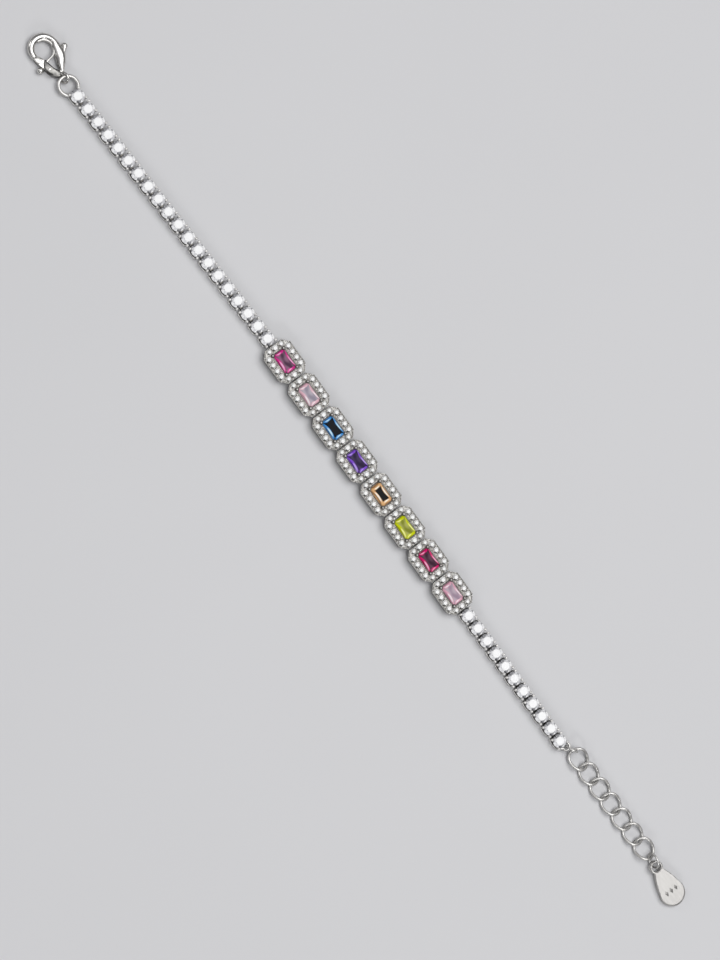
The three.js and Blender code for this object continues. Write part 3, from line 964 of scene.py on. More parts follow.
@dataclass
class RoundLink:
    """Four-prong link: U-shaped double rail, basket ring, prongs with bead tips and hinge."""

    stone: Cut = field(default_factory=lambda: Cut(2.75, 2.75, 1.62, 0.42, 1.15))
    rail_length: float = 2.3
    rail_width: float = 2.47
    rail_height: float = 0.6
    rail_thickness: float = 0.38
    rail_bulge: float = 0.14
    rail_tail: float = 0.12
    lower_bar: float = 0.58
    upper_bar: float = 0.42
    upper_width: float = 0.8
    upper_spread: float = 0.92
    prong_spread: float = 1.1
    prong_wire: float = 0.4
    prong_lean: float = 0.1
    bead: float = 0.58
    basket_ring: float = 2.72
    basket_wire: float = 0.24
    basket_lift: float = 0.42
    hinge_set_back: float = 0.45
    hinge_height: float = 0.44
    hinge_bar: float = 0.34
    eye_hole: float = 0.3
    eye_outer: float = 0.42
    eye_width: float = 0.7
    pitch: float = 3.0

    def rail(self) -> list[Surface]:
        """Two bars, the upper a little further in, along both sides and round the head end.

        Returns:
            The lower and the upper bar.
        """
        x = self.rail_length / 2 - self.rail_thickness / 2
        y = self.rail_width / 2 - self.rail_thickness / 2
        bulge = self.rail_bulge
        side = np.array([(-x - self.rail_tail, y), (-x * 0.6, y + bulge * 0.7), (0.0, y + bulge),
                         (x * 0.6, y + bulge * 0.7), (x - 0.05, y - 0.03), (x, y * 0.7)])
        knots = np.vstack([side * [1, -1], [[x, 0.0]], side[::-1]])
        path = smooth_path(at_height(knots, 0.0), 49)
        low, high = self.rail_height * self.lower_bar, self.rail_height * self.upper_bar
        lower = wire(path + [0.0, 0.0, low / 2], self.rail_thickness, low, 12, power=3.0)
        upper = wire(path * [1.0, self.upper_spread, 1.0] + [0.0, 0.0, low + high / 2],
                     self.rail_thickness * self.upper_width, high, 10, power=2.6)
        # The upper bar takes the darker copy: painted shade between the rail and the stone.
        return [lower.finished(2), upper.finished(1)]

    def prongs(self) -> list[Surface]:
        """Four leaning posts that end in round beads over the stone's girdle.

        Returns:
            One surface for each prong.
        """
        head = self.stone.girdle + self.stone.crown
        foot = self.rail_height * 0.6
        r, b = self.prong_wire / 2, self.bead / 2
        turn = np.radians([-55, -20, 15, 50, 78])
        bead = [(b * np.cos(t), head - b + b * np.sin(t)) for t in turn]
        profile = [(r * 0.9, foot), (r, foot + 0.4), (r, head - b * 1.9), *bead]
        lean, out = self.prong_lean, self.prong_spread - self.prong_lean
        return [lathe(profile, 12, (sx * lean, sy * lean), 2).moved((sx * out, sy * out, 0.0))
                for sx in (-1, 1) for sy in (-1, 1)]

    def basket(self) -> Surface:
        """Thin ring that ties the prongs together under the stone."""
        tie = ring(self.basket_ring, self.basket_wire, 40, 8)
        # Darker copy of the silver: painted shade under the stone.
        return tie.moved((0.0, 0.0, self.rail_height + self.basket_lift)).finished(1)

    def hinge_bar_across(self, length: float) -> Surface:
        """Round bar in the tail opening that the neighbour's eye goes round.

        Args:
            length: Length of the bar.

        Returns:
            The bar.
        """
        x = -self.pitch / 2 + self.hinge_set_back
        half = length / 2
        path = np.linspace([x, -half, self.hinge_height], [x, half, self.hinge_height], 5)
        # Darker copy of the silver: painted shade in the hinge between links.
        return wire(path, self.hinge_bar, self.hinge_bar, 12, rounding=0).finished(1)

    def hinge_eye(self, wall_at: float) -> list[Surface]:
        """Barrel round the next link's bar, and the arm that carries it.

        Args:
            wall_at: Start of the arm, ahead of the link's middle.

        Returns:
            The barrel and the arm.
        """
        centre = self.pitch / 2 + self.hinge_set_back
        angle = 2 * np.pi * np.arange(24) / 24
        half = self.eye_width / 2
        rows = [(self.eye_outer, -half), (self.eye_outer, half), (self.eye_hole, half),
                (self.eye_hole, -half)]
        level = np.array([centre, 0.0, self.hinge_height])
        grid = np.array([level + np.insert(on_circle(r, angle), 1, y, axis=1) for r, y in rows])
        # Barrel and arm take the darker copy: painted shade in the gap between links.
        barrel = skin(grid, close_rows=True, finish=1)
        end = centre - (self.eye_outer + self.eye_hole) / 2
        path = np.linspace([wall_at, 0.0, self.hinge_height], [end, 0.0, self.hinge_height], 4)
        arm = wire(path, self.eye_width, self.hinge_bar, 12, power=5.0, rounding=0)
        return [barrel, arm.finished(1)]

    def metal(self) -> list[Surface]:
        """All the link's metal without its eye."""
        return [*self.rail(), *self.prongs(), self.basket(),
                self.hinge_bar_across(self.rail_width - self.rail_thickness)]

    def build(self, lay: Lay, finishes: Finishes, extras: dict[int, list[Surface]]) -> None:
        """Make one metal piece and one stone for each round link.

        Args:
            lay: Places of the links.
            finishes: Materials.
            extras: Bails by link number, which stand in for that link's eye where there is one.
        """
        metal = self.metal()
        eye = self.hinge_eye(self.rail_length / 2 - self.rail_thickness / 2)
        stone = self.stone.round_brilliant()
        for number, place in enumerate(lay.rounds, start=1):
            parts = metal + extras.get(number, [])
            if number < len(lay.rounds):
                parts = parts + eye
            label = f"{number:02d}"
            piece = make_piece(f"link_metal_{label}", [place.put(p) for p in parts],
                               [finishes.wire_silver, finishes.painted_shade, finishes.bead_silver],
                               Shading.METAL)
            dress(piece, "bracelet", [f"tennis_link_{label}"])
            gem = make_piece(f"link_stone_{label}", [place.put(stone)], [finishes.clear],
                             Shading.FACETED)
            dress(gem, "bracelet", [])


@dataclass
class Bails:
    """Wire loops soldered to the first and last round links."""

    spread: float = 1.1
    height: float = 1.0
    head_radius: float = 1.85
    head_wire: float = 0.7
    tail_reach: float = 1.4
    tail_radius: float = 0.72
    tail_skew: float = 0.55
    tail_wire: float = 0.5

    def head_centre(self) -> float:
        """Distance of the head bail's middle from the first link's middle."""
        return -self.spread - float(np.sqrt(self.head_radius ** 2 - self.spread ** 2))

    def head(self) -> Surface:
        """Arc of a circle from one prong round to the other.

        Returns:
            The open loop.
        """
        gap = np.arcsin(self.spread / self.head_radius)
        angle = np.linspace(gap, 2 * np.pi - gap, 60)
        path = at_height(on_circle(self.head_radius, angle), self.height)
        return wire(path + [self.head_centre(), 0.0, 0.0], self.head_wire, self.head_wire, 14)

    def tail_centre(self) -> tuple[float, float]:
        """Middle of the tail bail's nose in the last link's frame."""
        return self.spread + self.tail_reach - self.tail_radius, self.tail_skew

    def tail(self) -> Surface:
        """Two arms from the prongs to a round nose.

        Returns:
            The open loop.
        """
        x, y = self.tail_centre()
        nose = [(x + self.tail_radius * np.cos(t), y + self.tail_radius * np.sin(t), self.height)
                for t in np.radians([-95, -60, -25, 0, 25, 60, 95])]
        knots = [(self.spread, -self.spread, self.height), *nose,
                 (self.spread, self.spread, self.height)]
        return wire(smooth_path(knots, 60), self.tail_wire, self.tail_wire, 12)


@dataclass
class HaloLink:
    """Halo setting: pierced plate on a grooved gallery wall, small stones, beads and prongs."""

    length: float = 7.5
    width: float = 6.3
    corner_along: float = 1.3
    corner_across: float = 1.15
    height: float = 2.0
    plate_height: float = 0.6
    wall: float = 0.6
    slot: float = 1.0
    window_length: float = 4.34
    window_width: float = 2.55
    window_corner: float = 0.42
    small: Cut = field(default_factory=lambda: Cut(1.2, 1.2, 2.03, 0.2, 0.3))
    pitch_long: float = 1.31
    pitch_short: float = 1.4
    row_inset: float = 0.82
    end_inset: float = 0.66
    centre: Cut = field(default_factory=lambda: Cut(4.26, 2.49, 2.06, 0.44, 1.3))
    centre_corner: float = 0.42
    bar_width: float = 0.16
    bar_height: float = 0.22
    prong: float = 0.6
    prong_clearance: float = 0.05
    grain_pitch: float = 0.3
    steps: int = 6

    def outline(self, inset_by: float, steps: int) -> Points:
        """The octagon, moved in by a distance, with places along each edge."""
        return inset(clipped(self.length, self.width, self.corner_along, self.corner_across,
                             steps), inset_by)

    def window(self, outset_by: float) -> Points:
        """The opening round the centre stone, moved out by a distance."""
        return inset(clipped(self.window_length, self.window_width, self.window_corner,
                             self.window_corner, self.steps), -outset_by)

    def stone_lines(self) -> tuple[float, float]:
        """Distances of the long rows and of the end rows of small stones from the middle."""
        return self.width / 2 - self.row_inset, self.length / 2 - self.end_inset

    def top_plate(self) -> Surface:
        """Ring-shaped plate between the octagon and the window, with rounded rims.

        Each row of the grid is the octagon or the window at one height; the plate's top dips
        by a tenth of a millimetre between its outer rim and the rim of the window.

        Returns:
            The plate.
        """
        top, low = self.height, self.height - self.plate_height
        outer = [(0.0, low), (0.0, top - 0.06), (0.03, top + 0.02), (0.1, top + 0.04),
                 (0.17, top + 0.01), (0.22, top - 0.08)]
        inner = [(0.26, top - 0.08), (0.2, top + 0.02), (0.12, top + 0.06), (0.04, top + 0.03),
                 (0.0, top - 0.05), (0.0, low)]
        rows = [at_height(self.outline(by, self.steps), z) for by, z in outer]
        rows += [at_height(self.window(by), z) for by, z in inner]
        return skin(np.array(rows), close_rows=True)

    def painted_shade(self) -> Surface:
        """Dark bed of painted shade between the outer rim and the window's rim, just over the plate's
        dip.

        Returns:
            The bed.
        """
        outer, inner = self.outline(0.23, self.steps), self.window(0.27)
        low, top = self.height - 0.1, self.height - 0.055
        rows = [(outer, low), (outer, top), (inner, top), (inner, low)]
        return skin(np.array([at_height(places, z) for places, z in rows]), True, finish=1)

    def milgrain(self) -> list[Surface]:
        """Row of tiny beads along the outer rim, evenly spaced round the octagon.

        Returns:
            One surface for each bead.
        """
        corners = self.outline(0.08, 1)
        edges = np.roll(corners, -1, 0) - corners
        lengths = np.linalg.norm(edges, axis=1)
        counts = np.maximum(np.round(lengths / self.grain_pitch), 1).astype(int)
        spots = np.vstack([corner + edge * (np.arange(n)[:, None] / n)
                           for corner, edge, n in zip(corners, edges, counts)])
        r = self.grain_pitch * 0.42
        grain = lathe([(r, 0.0), (r * 0.85, r * 0.45), (r * 0.3, r * 0.72)], 7)
        return [grain.moved((x, y, self.height)) for x, y in spots]

    def gallery(self) -> Surface:
        """Wall under the plate, grooved all round, open at the tail for the neighbour's arm.

        A closed section is carried round the octagon from one side of the opening to the
        other; the section's outer face leans in towards the foot, and the groove is a dent in it.

        Returns:
            The wall.
        """
        outline = clipped(self.length, self.width, self.corner_along, self.corner_across, 8)
        turned = np.roll(outline, -36, axis=0)
        keep = ~((turned[:, 0] < -self.length / 2 + 1e-6) & (np.abs(turned[:, 1]) < self.slot / 2))
        start = np.array([[-self.length / 2, -self.slot / 2]])
        path = np.vstack([start, turned[keep], start * [1, -1]])
        inner = path * [1 - 2 * self.wall / self.length, 1 - 2 * self.wall / self.width]
        top = self.height - self.plate_height + 0.02
        section = [(0.42, 0.08), (0.48, 0.0), (1.0, 0.0), (1.0, top), (0.0, top), (0.06, 1.14),
                   (0.32, 1.08), (0.34, 0.92), (0.14, 0.86), (0.22, 0.62), (0.36, 0.28)]
        return skin(np.stack([at_height(path + (inner - path) * share, z)
                              for share, z in section], axis=1))

    def small_stones(self) -> list[Surface]:
        """Fourteen small stones: four to each long side, and three to each end.

        The middle one of an end is a little larger than the others, and its neighbours near
        the clipped corners are smaller.

        Returns:
            One surface for each stone.
        """
        row, end = self.stone_lines()
        places = []
        for side in (-1, 1):
            places += [(share * self.pitch_long, side * row, 1.0)
                       for share in (-1.5, -0.5, 0.5, 1.5)]
            places += [(side * end, share * self.pitch_short, 1.08 - 0.22 * abs(share))
                       for share in (-1, 0, 1)]
        stone = self.small.small_brilliant()
        return [Surface(stone.points * [size, size, 1.0] + [x, y, 0.0], stone.faces, stone.finish,
                        stone.uv) for x, y, size in places]

    def corner_facets(self) -> list[Surface]:
        """Plain raised triangle inside each clipped corner.

        Returns:
            One surface for each corner.
        """
        x, y = self.length / 2, self.width / 2
        shape = np.array([[x - 0.24, y - self.corner_across - 0.04],
                          [x - self.corner_along - 0.06, y - 0.26],
                          [x - self.corner_along + 0.12, y - self.corner_across - 0.04]])
        top = self.height + 0.01
        return [plate((shape * [sx, sy])[::sx * sy], top - 0.08, top, 0.04).finished(3)
                for sx in (-1, 1) for sy in (-1, 1)]

    def beads(self) -> list[Surface]:
        """Pairs of bead grains between neighbouring small stones, inside and outside.

        Returns:
            One surface for each grain.
        """
        row, end = self.stone_lines()
        off = self.small.length * 0.42
        spots = []
        for side in (-1, 1):
            for share in (-2.05, -1, 0, 1, 2.05):
                spots += [(share * self.pitch_long, side * (row + off)),
                          (share * self.pitch_long, side * (row - off))]
            for share in (-0.5, 0.5):
                spots += [(side * (end + off * 0.9), share * self.pitch_short),
                          (side * (end - off), share * self.pitch_short)]
        grain = lathe([(0.16, 0.0), (0.15, 0.08), (0.09, 0.15), (0.02, 0.18)], 8, finish=2)
        return [grain.moved((x, y, self.height - 0.05)) for x, y in spots]

    def bars(self) -> list[Surface]:
        """Thin raised bars that part the small stones from one another.

        Returns:
            One surface for each bar.
        """
        row, end = self.stone_lines()
        half = self.small.length * 0.4
        z = self.height - 0.03
        ends = [[(share * self.pitch_long, side * (row + reach), z) for reach in (-half, half)]
                for side in (-1, 1) for share in (-1, 0, 1)]
        ends += [[(side * (end + reach), share * self.pitch_short, z) for reach in (-half, half)]
                 for side in (-1, 1) for share in (-0.5, 0.5)]
        # Darker copy of the silver: painted shade between the small stones.
        return [wire(np.linspace(*pair, 4), self.bar_width, self.bar_height, 8).finished(1)
                for pair in ends]

    def prongs(self) -> list[Surface]:
        """Collar of near-black painted shade and bright bead of the four prongs at the centre stone's
        corners.

        Returns:
            Four collars, then four beads.
        """
        x = self.centre.length / 2 + self.prong_clearance
        y = self.centre.width / 2 + self.prong_clearance
        top, r = self.height + self.centre.crown, self.prong / 2
        turn = np.radians([0, 25, 50, 78])
        # The collar's near-black finish is painted shade round the prong.
        collar = lathe([(r, self.height - 0.5), (r * 1.2, top - r * 0.9), (r * 1.1, top - r * 0.5)],
                       14, finish=4)
        bead = lathe([(r * 0.6 * np.cos(t), top - r * 0.6 + r * 0.6 * np.sin(t)) for t in turn],
                     12, finish=2)
        return [part.moved((sx * x, sy * y, 0.0)) for part in (collar, bead)
                for sx in (-1, 1) for sy in (-1, 1)]

    def build(self, lay: Lay, finishes: Finishes) -> None:
        """Make a setting, its small stones and its centre stone for each halo link.

        Args:
            lay: Places of the links.
            finishes: Materials.
        """
        hinge = RoundLink(pitch=lay.halo_pitch)
        metal = [self.top_plate(), self.painted_shade(), *self.milgrain(), *self.corner_facets(),
                 self.gallery(), *self.beads(), *self.bars(), *self.prongs(),
                 hinge.hinge_bar_across(1.2), *hinge.hinge_eye(self.length / 2 - 0.3)]
        small = self.small_stones()
        emerald = self.centre.emerald(self.centre_corner)
        for number, (place, colour) in enumerate(zip(lay.settings, CentreColour), start=1):
            piece = make_piece(f"halo_metal_{number}", [place.put(p) for p in metal],
                               [finishes.pave_silver, finishes.painted_shade, finishes.bead_silver,
                                finishes.brushed, finishes.near_black_shade_silver], Shading.METAL)
            dress(piece, "bracelet", [f"halo_setting_{number}"])
            pave = make_piece(f"halo_stones_{number}", [place.put(p) for p in small],
                              [finishes.small_clear], Shading.FACETED)
            dress(pave, "bracelet", [])
            gem = make_piece(f"emerald_cut_{number}", [place.put(emerald)],
                             [colour.value.material()], Shading.FACETED)
            dress(gem, "bracelet", [f"centre_stone_{number}"])


class CentreColour(Enum):
    """The eight centre stones from the clasp towards the drop."""

    # Each stone's own hue, with painted shade in its core, painted light, a painted glint and sheen.
    HOT_PINK = CutStone("hot_pink_stone", rim=(0.74, 0.04, 0.30), deep=(0.36, 0.01, 0.13),
                        core=(0.070, 0.028, 0.058), gleam=(0.95, 0.50, 0.74), sheen=0.2,
                        glint_at=0.2)
    PALE_PINK = CutStone("pale_pink_stone", rim=(0.80, 0.50, 0.57), deep=(0.54, 0.30, 0.38),
                         core=(0.28, 0.25, 0.31), gleam=(0.96, 0.88, 0.90), edge=0.91)
    SKY_BLUE = CutStone("sky_blue_stone", rim=(0.075, 0.32, 0.74), deep=(0.02, 0.12, 0.36),
                        core=(0.002, 0.003, 0.006), gleam=(0.62, 0.86, 0.96), streaks=0.08, sheen=0.0,
                        glint_at=0.1)
    VIOLET = CutStone("violet_stone", rim=(0.24, 0.09, 0.66), deep=(0.07, 0.02, 0.27),
                      core=(0.020, 0.010, 0.045), gleam=(0.58, 0.42, 0.92), sheen=0.06, glint_at=0.35)
    CHAMPAGNE = CutStone("champagne_stone", rim=(0.80, 0.47, 0.22), deep=(0.30, 0.15, 0.07),
                         core=(0.003, 0.003, 0.004), gleam=(0.96, 0.88, 0.76), streaks=0.08, sheen=0.0,
                         edge=0.82, glint=3.0, glint_at=0.0)
    LIME = CutStone("lime_stone", rim=(0.62, 0.68, 0.01), deep=(0.36, 0.40, 0.01),
                    core=(0.21, 0.23, 0.015), gleam=(0.93, 0.93, 0.36), edge=0.89)
    RASPBERRY = CutStone("raspberry_stone", rim=(0.74, 0.015, 0.17), deep=(0.30, 0.005, 0.06),
                         core=(0.040, 0.008, 0.025), gleam=(0.95, 0.48, 0.66), sheen=0.08, glint_at=0.25)
    BLUSH = CutStone("blush_stone", rim=(0.78, 0.42, 0.52), deep=(0.50, 0.22, 0.31),
                     core=(0.33, 0.24, 0.31), gleam=(0.96, 0.86, 0.89), edge=0.91, glint_at=0.2)


@dataclass
class Chain:
    """Neck ring, twisted curb rings and drop ring."""

    count: int = 7
    length: float = 4.95
    width: float = 4.2
    thickness: float = 0.55
    twist: float = 0.47
    clearance: float = 0.2
    offset: float = 1.17
    ring_gap: float = 0.16
    lift: float = 6.0
    neck: float = 2.82
    neck_wire: float = 0.37
    neck_lean: float = -12.0
    drop: float = 3.4
    drop_wire: float = 0.44
    drop_lean: float = 12.0
    drop_at: tuple[float, float] = (0.5, -0.1)
    drop_turn: float = -14.0

    def curb(self) -> Surface:
        """Oval loop that rises and falls twice: z = r + twist (1 - sin 2a).

        Returns:
            The loop, resting on the table at the origin.
        """
        angle = 2 * np.pi * np.arange(64) / 64
        a, b = (self.length - self.thickness) / 2, (self.width - self.thickness) / 2
        rise = self.thickness / 2 + self.twist * (1 - np.sin(2 * angle))
        path = np.column_stack([on_circle(1.0, angle) * [a, b], rise])
        return wire(path, self.thickness, self.thickness, 12, closed=True)

    def standing(self, diameter: float, thickness: float, lean: float) -> Surface:
        """Ring on its edge along +X, leaning over, resting on the table.

        Args:
            diameter: Outer diameter.
            thickness: Diameter of the wire.
            lean: Angle from upright in degrees.

        Returns:
            The ring.
        """
        upright = ring(diameter, thickness)
        upright.points = tilt_about_x(upright.points, 90 - lean)
        height = (diameter - thickness) / 2 * np.cos(np.radians(lean)) + thickness / 2
        return upright.moved((0.0, 0.0, height))

    def build(self, lay: Lay, bails: Bails, finishes: Finishes) -> Place:
        """Make the rings and give back where the drop ring stands.

        Args:
            lay: Places of the links.
            bails: The soldered loops.
            finishes: Materials.

        Returns:
            Place of the drop ring, headed as the drop is.
        """
        last = lay.rounds[-1]
        nose = last.ahead(*bails.tail_centre())
        reach = bails.tail_radius + (bails.tail_wire + self.thickness) / 2 + self.ring_gap
        sideways = last.y + self.offset - nose[1]
        first_end = nose[0] + np.sqrt(reach ** 2 - sideways ** 2)
        heading = np.degrees(np.arctan2(sideways, first_end - nose[0]))
        middle = Place(*nose, heading).ahead((bails.tail_radius + reach) / 2)
        neck = self.standing(self.neck, self.neck_wire, self.neck_lean)
        self.finish("neck_wire_ring", [Place(*middle, heading).put(neck)], finishes, "neck_ring")
        half = (self.length - self.thickness) / 2
        pitch = 2 * half - self.thickness - self.clearance
        y = last.y + self.offset
        for i in range(self.count):
            loop = self.curb()
            lift = self.lift * ((i == 0) - (i == self.count - 1))
            pivot = np.array([np.sign(lift) * half, 0.0, 0.0])
            loop.points = tilt_about_y(loop.points - pivot, lift) + pivot
            if lift:
                loop.points[:, 2] -= min(loop.points[:, 2].min(), 0.0)
            x = first_end + half + i * pitch
            self.finish(f"curb_ring_{i + 1}", [loop.moved((x, y, 0.0))], finishes,
                        f"chain_ring_{i + 1}")
        end = first_end + 2 * half + (self.count - 1) * pitch
        place = Place(*Place(end, y, lay.heading_drop).ahead(*self.drop_at), lay.heading_drop)
        stood = self.standing(self.drop, self.drop_wire, self.drop_lean)
        turned = Place(place.x, place.y, lay.heading_drop + self.drop_turn)
        self.finish("drop_wire_ring", [turned.put(stood)], finishes, "drop_ring")
        return place

    def finish(self, name: str, parts: list[Surface], finishes: Finishes, node: str) -> None:
        """Make one ring of silver that stands for its node."""
        piece = make_piece(name, parts, [finishes.wire_silver], Shading.METAL)
        dress(piece, "bracelet", [node])


@dataclass
class Drop:
    """Teardrop plate with a bevelled rim, a pierced eyelet and a small lozenge pattern."""

    length: float = 10.0
    width: float = 5.2
    thickness: float = 1.0
    rim: float = 0.3
    eyelet: float = 2.64
    hole: float = 1.75
    neck: float = 1.9
    shoulder: float = 62.0
    bend: tuple[float, float] = (0.55, 0.84)
    dip: float = 0.04
    eyelet_dip: float = 0.14
    tilt: float = 4.0
    hang: tuple[float, float] = (0.55, -0.2)
    mark_at: float = 5.45
    mark_pitch: float = 1.1

    def reach_at(self, angle: Points) -> Points:
        """Distance from the hole's middle to the outline at each angle.

        The outline is the eyelet's circle behind, two soft curves along the sides and the
        round end's arc ahead, read by angle from a dense set of its places.

        Args:
            angle: Angles from the drop's length, in radians from -pi to pi.

        Returns:
            Radii in millimetres.
        """
        far = self.length - self.eyelet / 2 - self.width / 2
        r = self.width / 2
        arc = np.linspace(0, np.pi - np.radians(self.shoulder), 60)
        end = on_circle(r, arc) + [far, 0.0]
        t = np.linspace(0, 1, 60)[1:, None]
        start = np.array([self.hole / 2, self.neck / 2])
        bend = np.array([far * self.bend[0], r * self.bend[1]])
        side = (1 - t) ** 2 * end[-1] + 2 * t * (1 - t) * bend + t ** 2 * start
        outline = np.vstack([end, side])
        along = np.arctan2(outline[:, 1], outline[:, 0])
        order = np.argsort(along)
        radius = np.interp(np.abs(angle), along[order], np.hypot(*outline.T)[order], right=0.0)
        return np.maximum(radius, self.eyelet / 2)

    def plate(self) -> Surface:
        """Plate between its outline and its hole, as rows of one grid of angles.

        From outside to inside the rows climb the bevel, cross the face, which dips a little
        inside its rims, and go down the hole. The angles lie closer together at the round end.

        Returns:
            The plate, with the hole's middle at the origin.
        """
        even = np.linspace(-np.pi, np.pi, 144, endpoint=False)
        angle = np.sort(np.concatenate([np.linspace(-0.5, 0.5, 60), even[np.abs(even) > 0.5]]))
        outer, inner = self.reach_at(angle), np.full(len(angle), self.hole / 2)
        top, room = self.thickness, outer - inner
        rim, lip = np.minimum(self.rim, 0.28 * room), np.minimum(0.16, 0.3 * room)
        face, lower = top - self.dip, self.eyelet_dip * (np.abs(angle) > 2.0)
        rows = [
            (outer - 0.1, 0.0), (outer, 0.1), (outer, top - 0.14), (outer - 0.05, face),
            (outer - rim, top), (outer - 1.15 * rim, face), (outer - 1.4 * rim, face),
            (inner + 0.5 * room, face), (inner + 1.3 * lip, face), (inner + lip, face),
            (inner + 0.6 * lip, top), (inner + 0.12 * lip, face), (inner, top - 0.12),
            (inner, 0.1), (inner + 0.08, 0.0),
        ]
        grid = [np.column_stack([on_circle(r, angle), z - lower * (z > 0.5)]) for r, z in rows]
        return skin(np.array(grid), close_rows=True)

    def lozenges(self) -> list[Surface]:
        """Row of three plain lozenges near the round end, barely proud of the face.

        Returns:
            One surface for each lozenge.
        """
        shape = np.array([[0.62, 0.0], [0.0, 0.36], [-0.62, 0.0], [0.0, -0.36]])
        low, face = self.thickness - 0.1, self.thickness - self.dip
        return [plate(shape + [self.mark_at, y], low, face + 0.02, 0.01).finished(1)
                for y in (-self.mark_pitch, 0.0, self.mark_pitch)]

    def build(self, ring_place: Place, lay: Lay, finishes: Finishes) -> None:
        """Make the drop, tilted so that its eyelet clears the ring's lower wire.

        Args:
            ring_place: Where the drop ring stands.
            lay: Places of the links.
            finishes: Materials.
        """
        along, across = self.hang
        place = Place(*ring_place.ahead(self.hole / 2 + along, across), lay.heading_drop)
        body, marks = self.plate(), self.lozenges()
        for part in (body, *marks):
            part.points = tilt_about_y(part.points, self.tilt)
        floor = -body.points[:, 2].min()
        piece = make_piece("teardrop_plate", [place.put(p, floor) for p in (body, *marks)],
                           [finishes.satin, finishes.brushed], Shading.METAL)
        dress(piece, "bracelet", ["drop_tag"])


@dataclass
class Clasp:
    """Lobster clasp: hook and spine, cheeks, inner strip, knob, eye and sprung lever.

    Shapes are in shares of the length, in the clasp's own frame: the eye is at the origin and
    the hook lies towards -X.
    """

    length: float = 9.3
    height: float = 1.6
    hook_radius: float = 2.4
    hook: float = 1.42
    spine: float = 2.3
    tail: float = 0.7
    cheek: float = 0.35
    clearance: float = 0.12
    pin: float = 0.44
    ball: float = 1.32
    ball_at: tuple[float, float] = (-0.34, -0.348)
    boss: float = 0.222
    rows: int = 90
    eye_radius: float = 0.9
    eye_wire: float = 0.5
    eye_tilt: float = 42.0
    eye_height: float = 1.0
    pull: float = 0.2

    def scaled(self, rows: list[tuple[float, ...]] | tuple[float, ...]) -> Points:
        """Shares of the length as millimetres."""
        return np.array(rows, float) * self.length

    def hook_centre(self) -> tuple[float, float]:
        """Middle of the hook's arc."""
        return -0.688 * self.length, -0.07 * self.length

    def hook_and_spine(self) -> Surface:
        """Bar along the hook's arc from its tip and down the spine to the eye's neck.

        Returns:
            The bar.
        """
        middle = self.height / 2
        turn = np.radians(np.linspace(-80, -284, 8))
        cx, cy = self.hook_centre()
        arc = on_circle(self.hook_radius, turn) + [cx, cy]
        spine = self.scaled([(-0.425, 0.16), (-0.275, 0.095), (-0.135, 0.04)])
        path = smooth_path(at_height(np.vstack([arc, spine]), middle), self.rows)
        share = np.linspace(0, 1, self.rows)
        width = np.interp(share, [0, 0.12, 0.35, 0.6, 0.76, 0.88, 1],
                          [self.hook * 0.85, self.hook * 0.95, self.hook * 1.04, self.hook * 0.9,
                           self.spine, self.spine * 0.75, self.tail])
        height = self.height * np.interp(share, [0, 0.35, 0.76, 0.9, 1], [0.8, 0.95, 1, 0.8, 0.5])
        return wire(path, width, height, 20)

    def cheek_outline(self) -> Points:
        """Smooth outline shared by both cheeks, anticlockwise."""
        knots = self.scaled([
            (-0.082, -0.02), (-0.18, -0.035), (-0.25, -0.085), (-0.4, -0.14), (-0.48, -0.17),
            (-0.42, -0.232), (-0.35, -0.262), (-0.3, -0.256), (-0.19, -0.215), (-0.1, -0.14),
        ])
        return smooth_path(knots, 50, closed=True)

    def housing(self) -> list[Surface]:
        """Two cheeks, the back that joins them and the pin between them.

        Returns:
            The cheeks, the back and the pin.
        """
        outline = self.cheek_outline()
        ends = self.scaled([(-0.16, -0.168), (-0.12, -0.12), (-0.092, -0.05)])
        path = smooth_path(at_height(ends, self.height / 2), 14)
        back = wire(path, 0.8, self.height * 0.97, 16, power=5.0)
        x, y = self.pivot()
        pin = lathe([(self.pin / 2, 0.1), (self.pin / 2, self.height + 0.01),
                     (self.pin / 2 - 0.08, self.height + 0.05)], 20).moved((x, y, 0.0))
        cheeks = [plate(outline, 0.0, self.cheek, 0.1),
                  plate(outline, self.height - self.cheek, self.height, 0.2)]
        return [*(part.finished(1) for part in (*cheeks, back)), pin]

    def pivot(self) -> tuple[float, float]:
        """Place of the pin."""
        return -0.28 * self.length, -0.178 * self.length

    def inner_strip(self) -> Surface:
        """Thin strip along the inside of the spine, standing on edge towards the hook.

        Returns:
            The strip.
        """
        level = self.height - self.cheek / 2
        cx, cy = self.hook_centre()
        arc = [(190, 1.75, 0.62), (160, 1.72, 0.62), (130, 1.72, 0.63), (100, 1.75, 0.66),
               (70, 1.83, 0.72), (40, 1.92, 0.80), (14, 2.0, 0.89), (-5.5, 2.13, 0.97), (-22, 2.64, 1.0)]
        rows = [(cx + r * np.cos(np.radians(t)), cy + r * np.sin(np.radians(t)), level * h)
                for t, r, h in arc]
        path = smooth_path(rows, 60)
        height = np.interp(np.linspace(0, 1, 60), [0, 0.35, 0.8, 1],
                           [self.height * 0.55, self.height * 0.5, self.cheek * 1.1, self.cheek * 0.8])
        return wire(path, self.cheek * 1.35, height, 12, power=2.4).finished(2)

    def knob(self) -> Surface:
        """Tapered stud on the spine's outer side.

        Returns:
            The stud.
        """
        knots = self.scaled([(-0.40, 0.18), (-0.45, 0.245), (-0.51, 0.30), (-0.56, 0.335),
                             (-0.575, 0.345)])
        path = smooth_path(at_height(knots, self.height / 2), 30)
        width = np.interp(np.linspace(0, 1, 30), [0, 0.35, 0.8, 1],
                          [self.ball * 0.42, self.ball * 0.5, self.ball * 0.95, self.ball * 0.85])
        return wire(path, width, self.height * 0.6, 16)

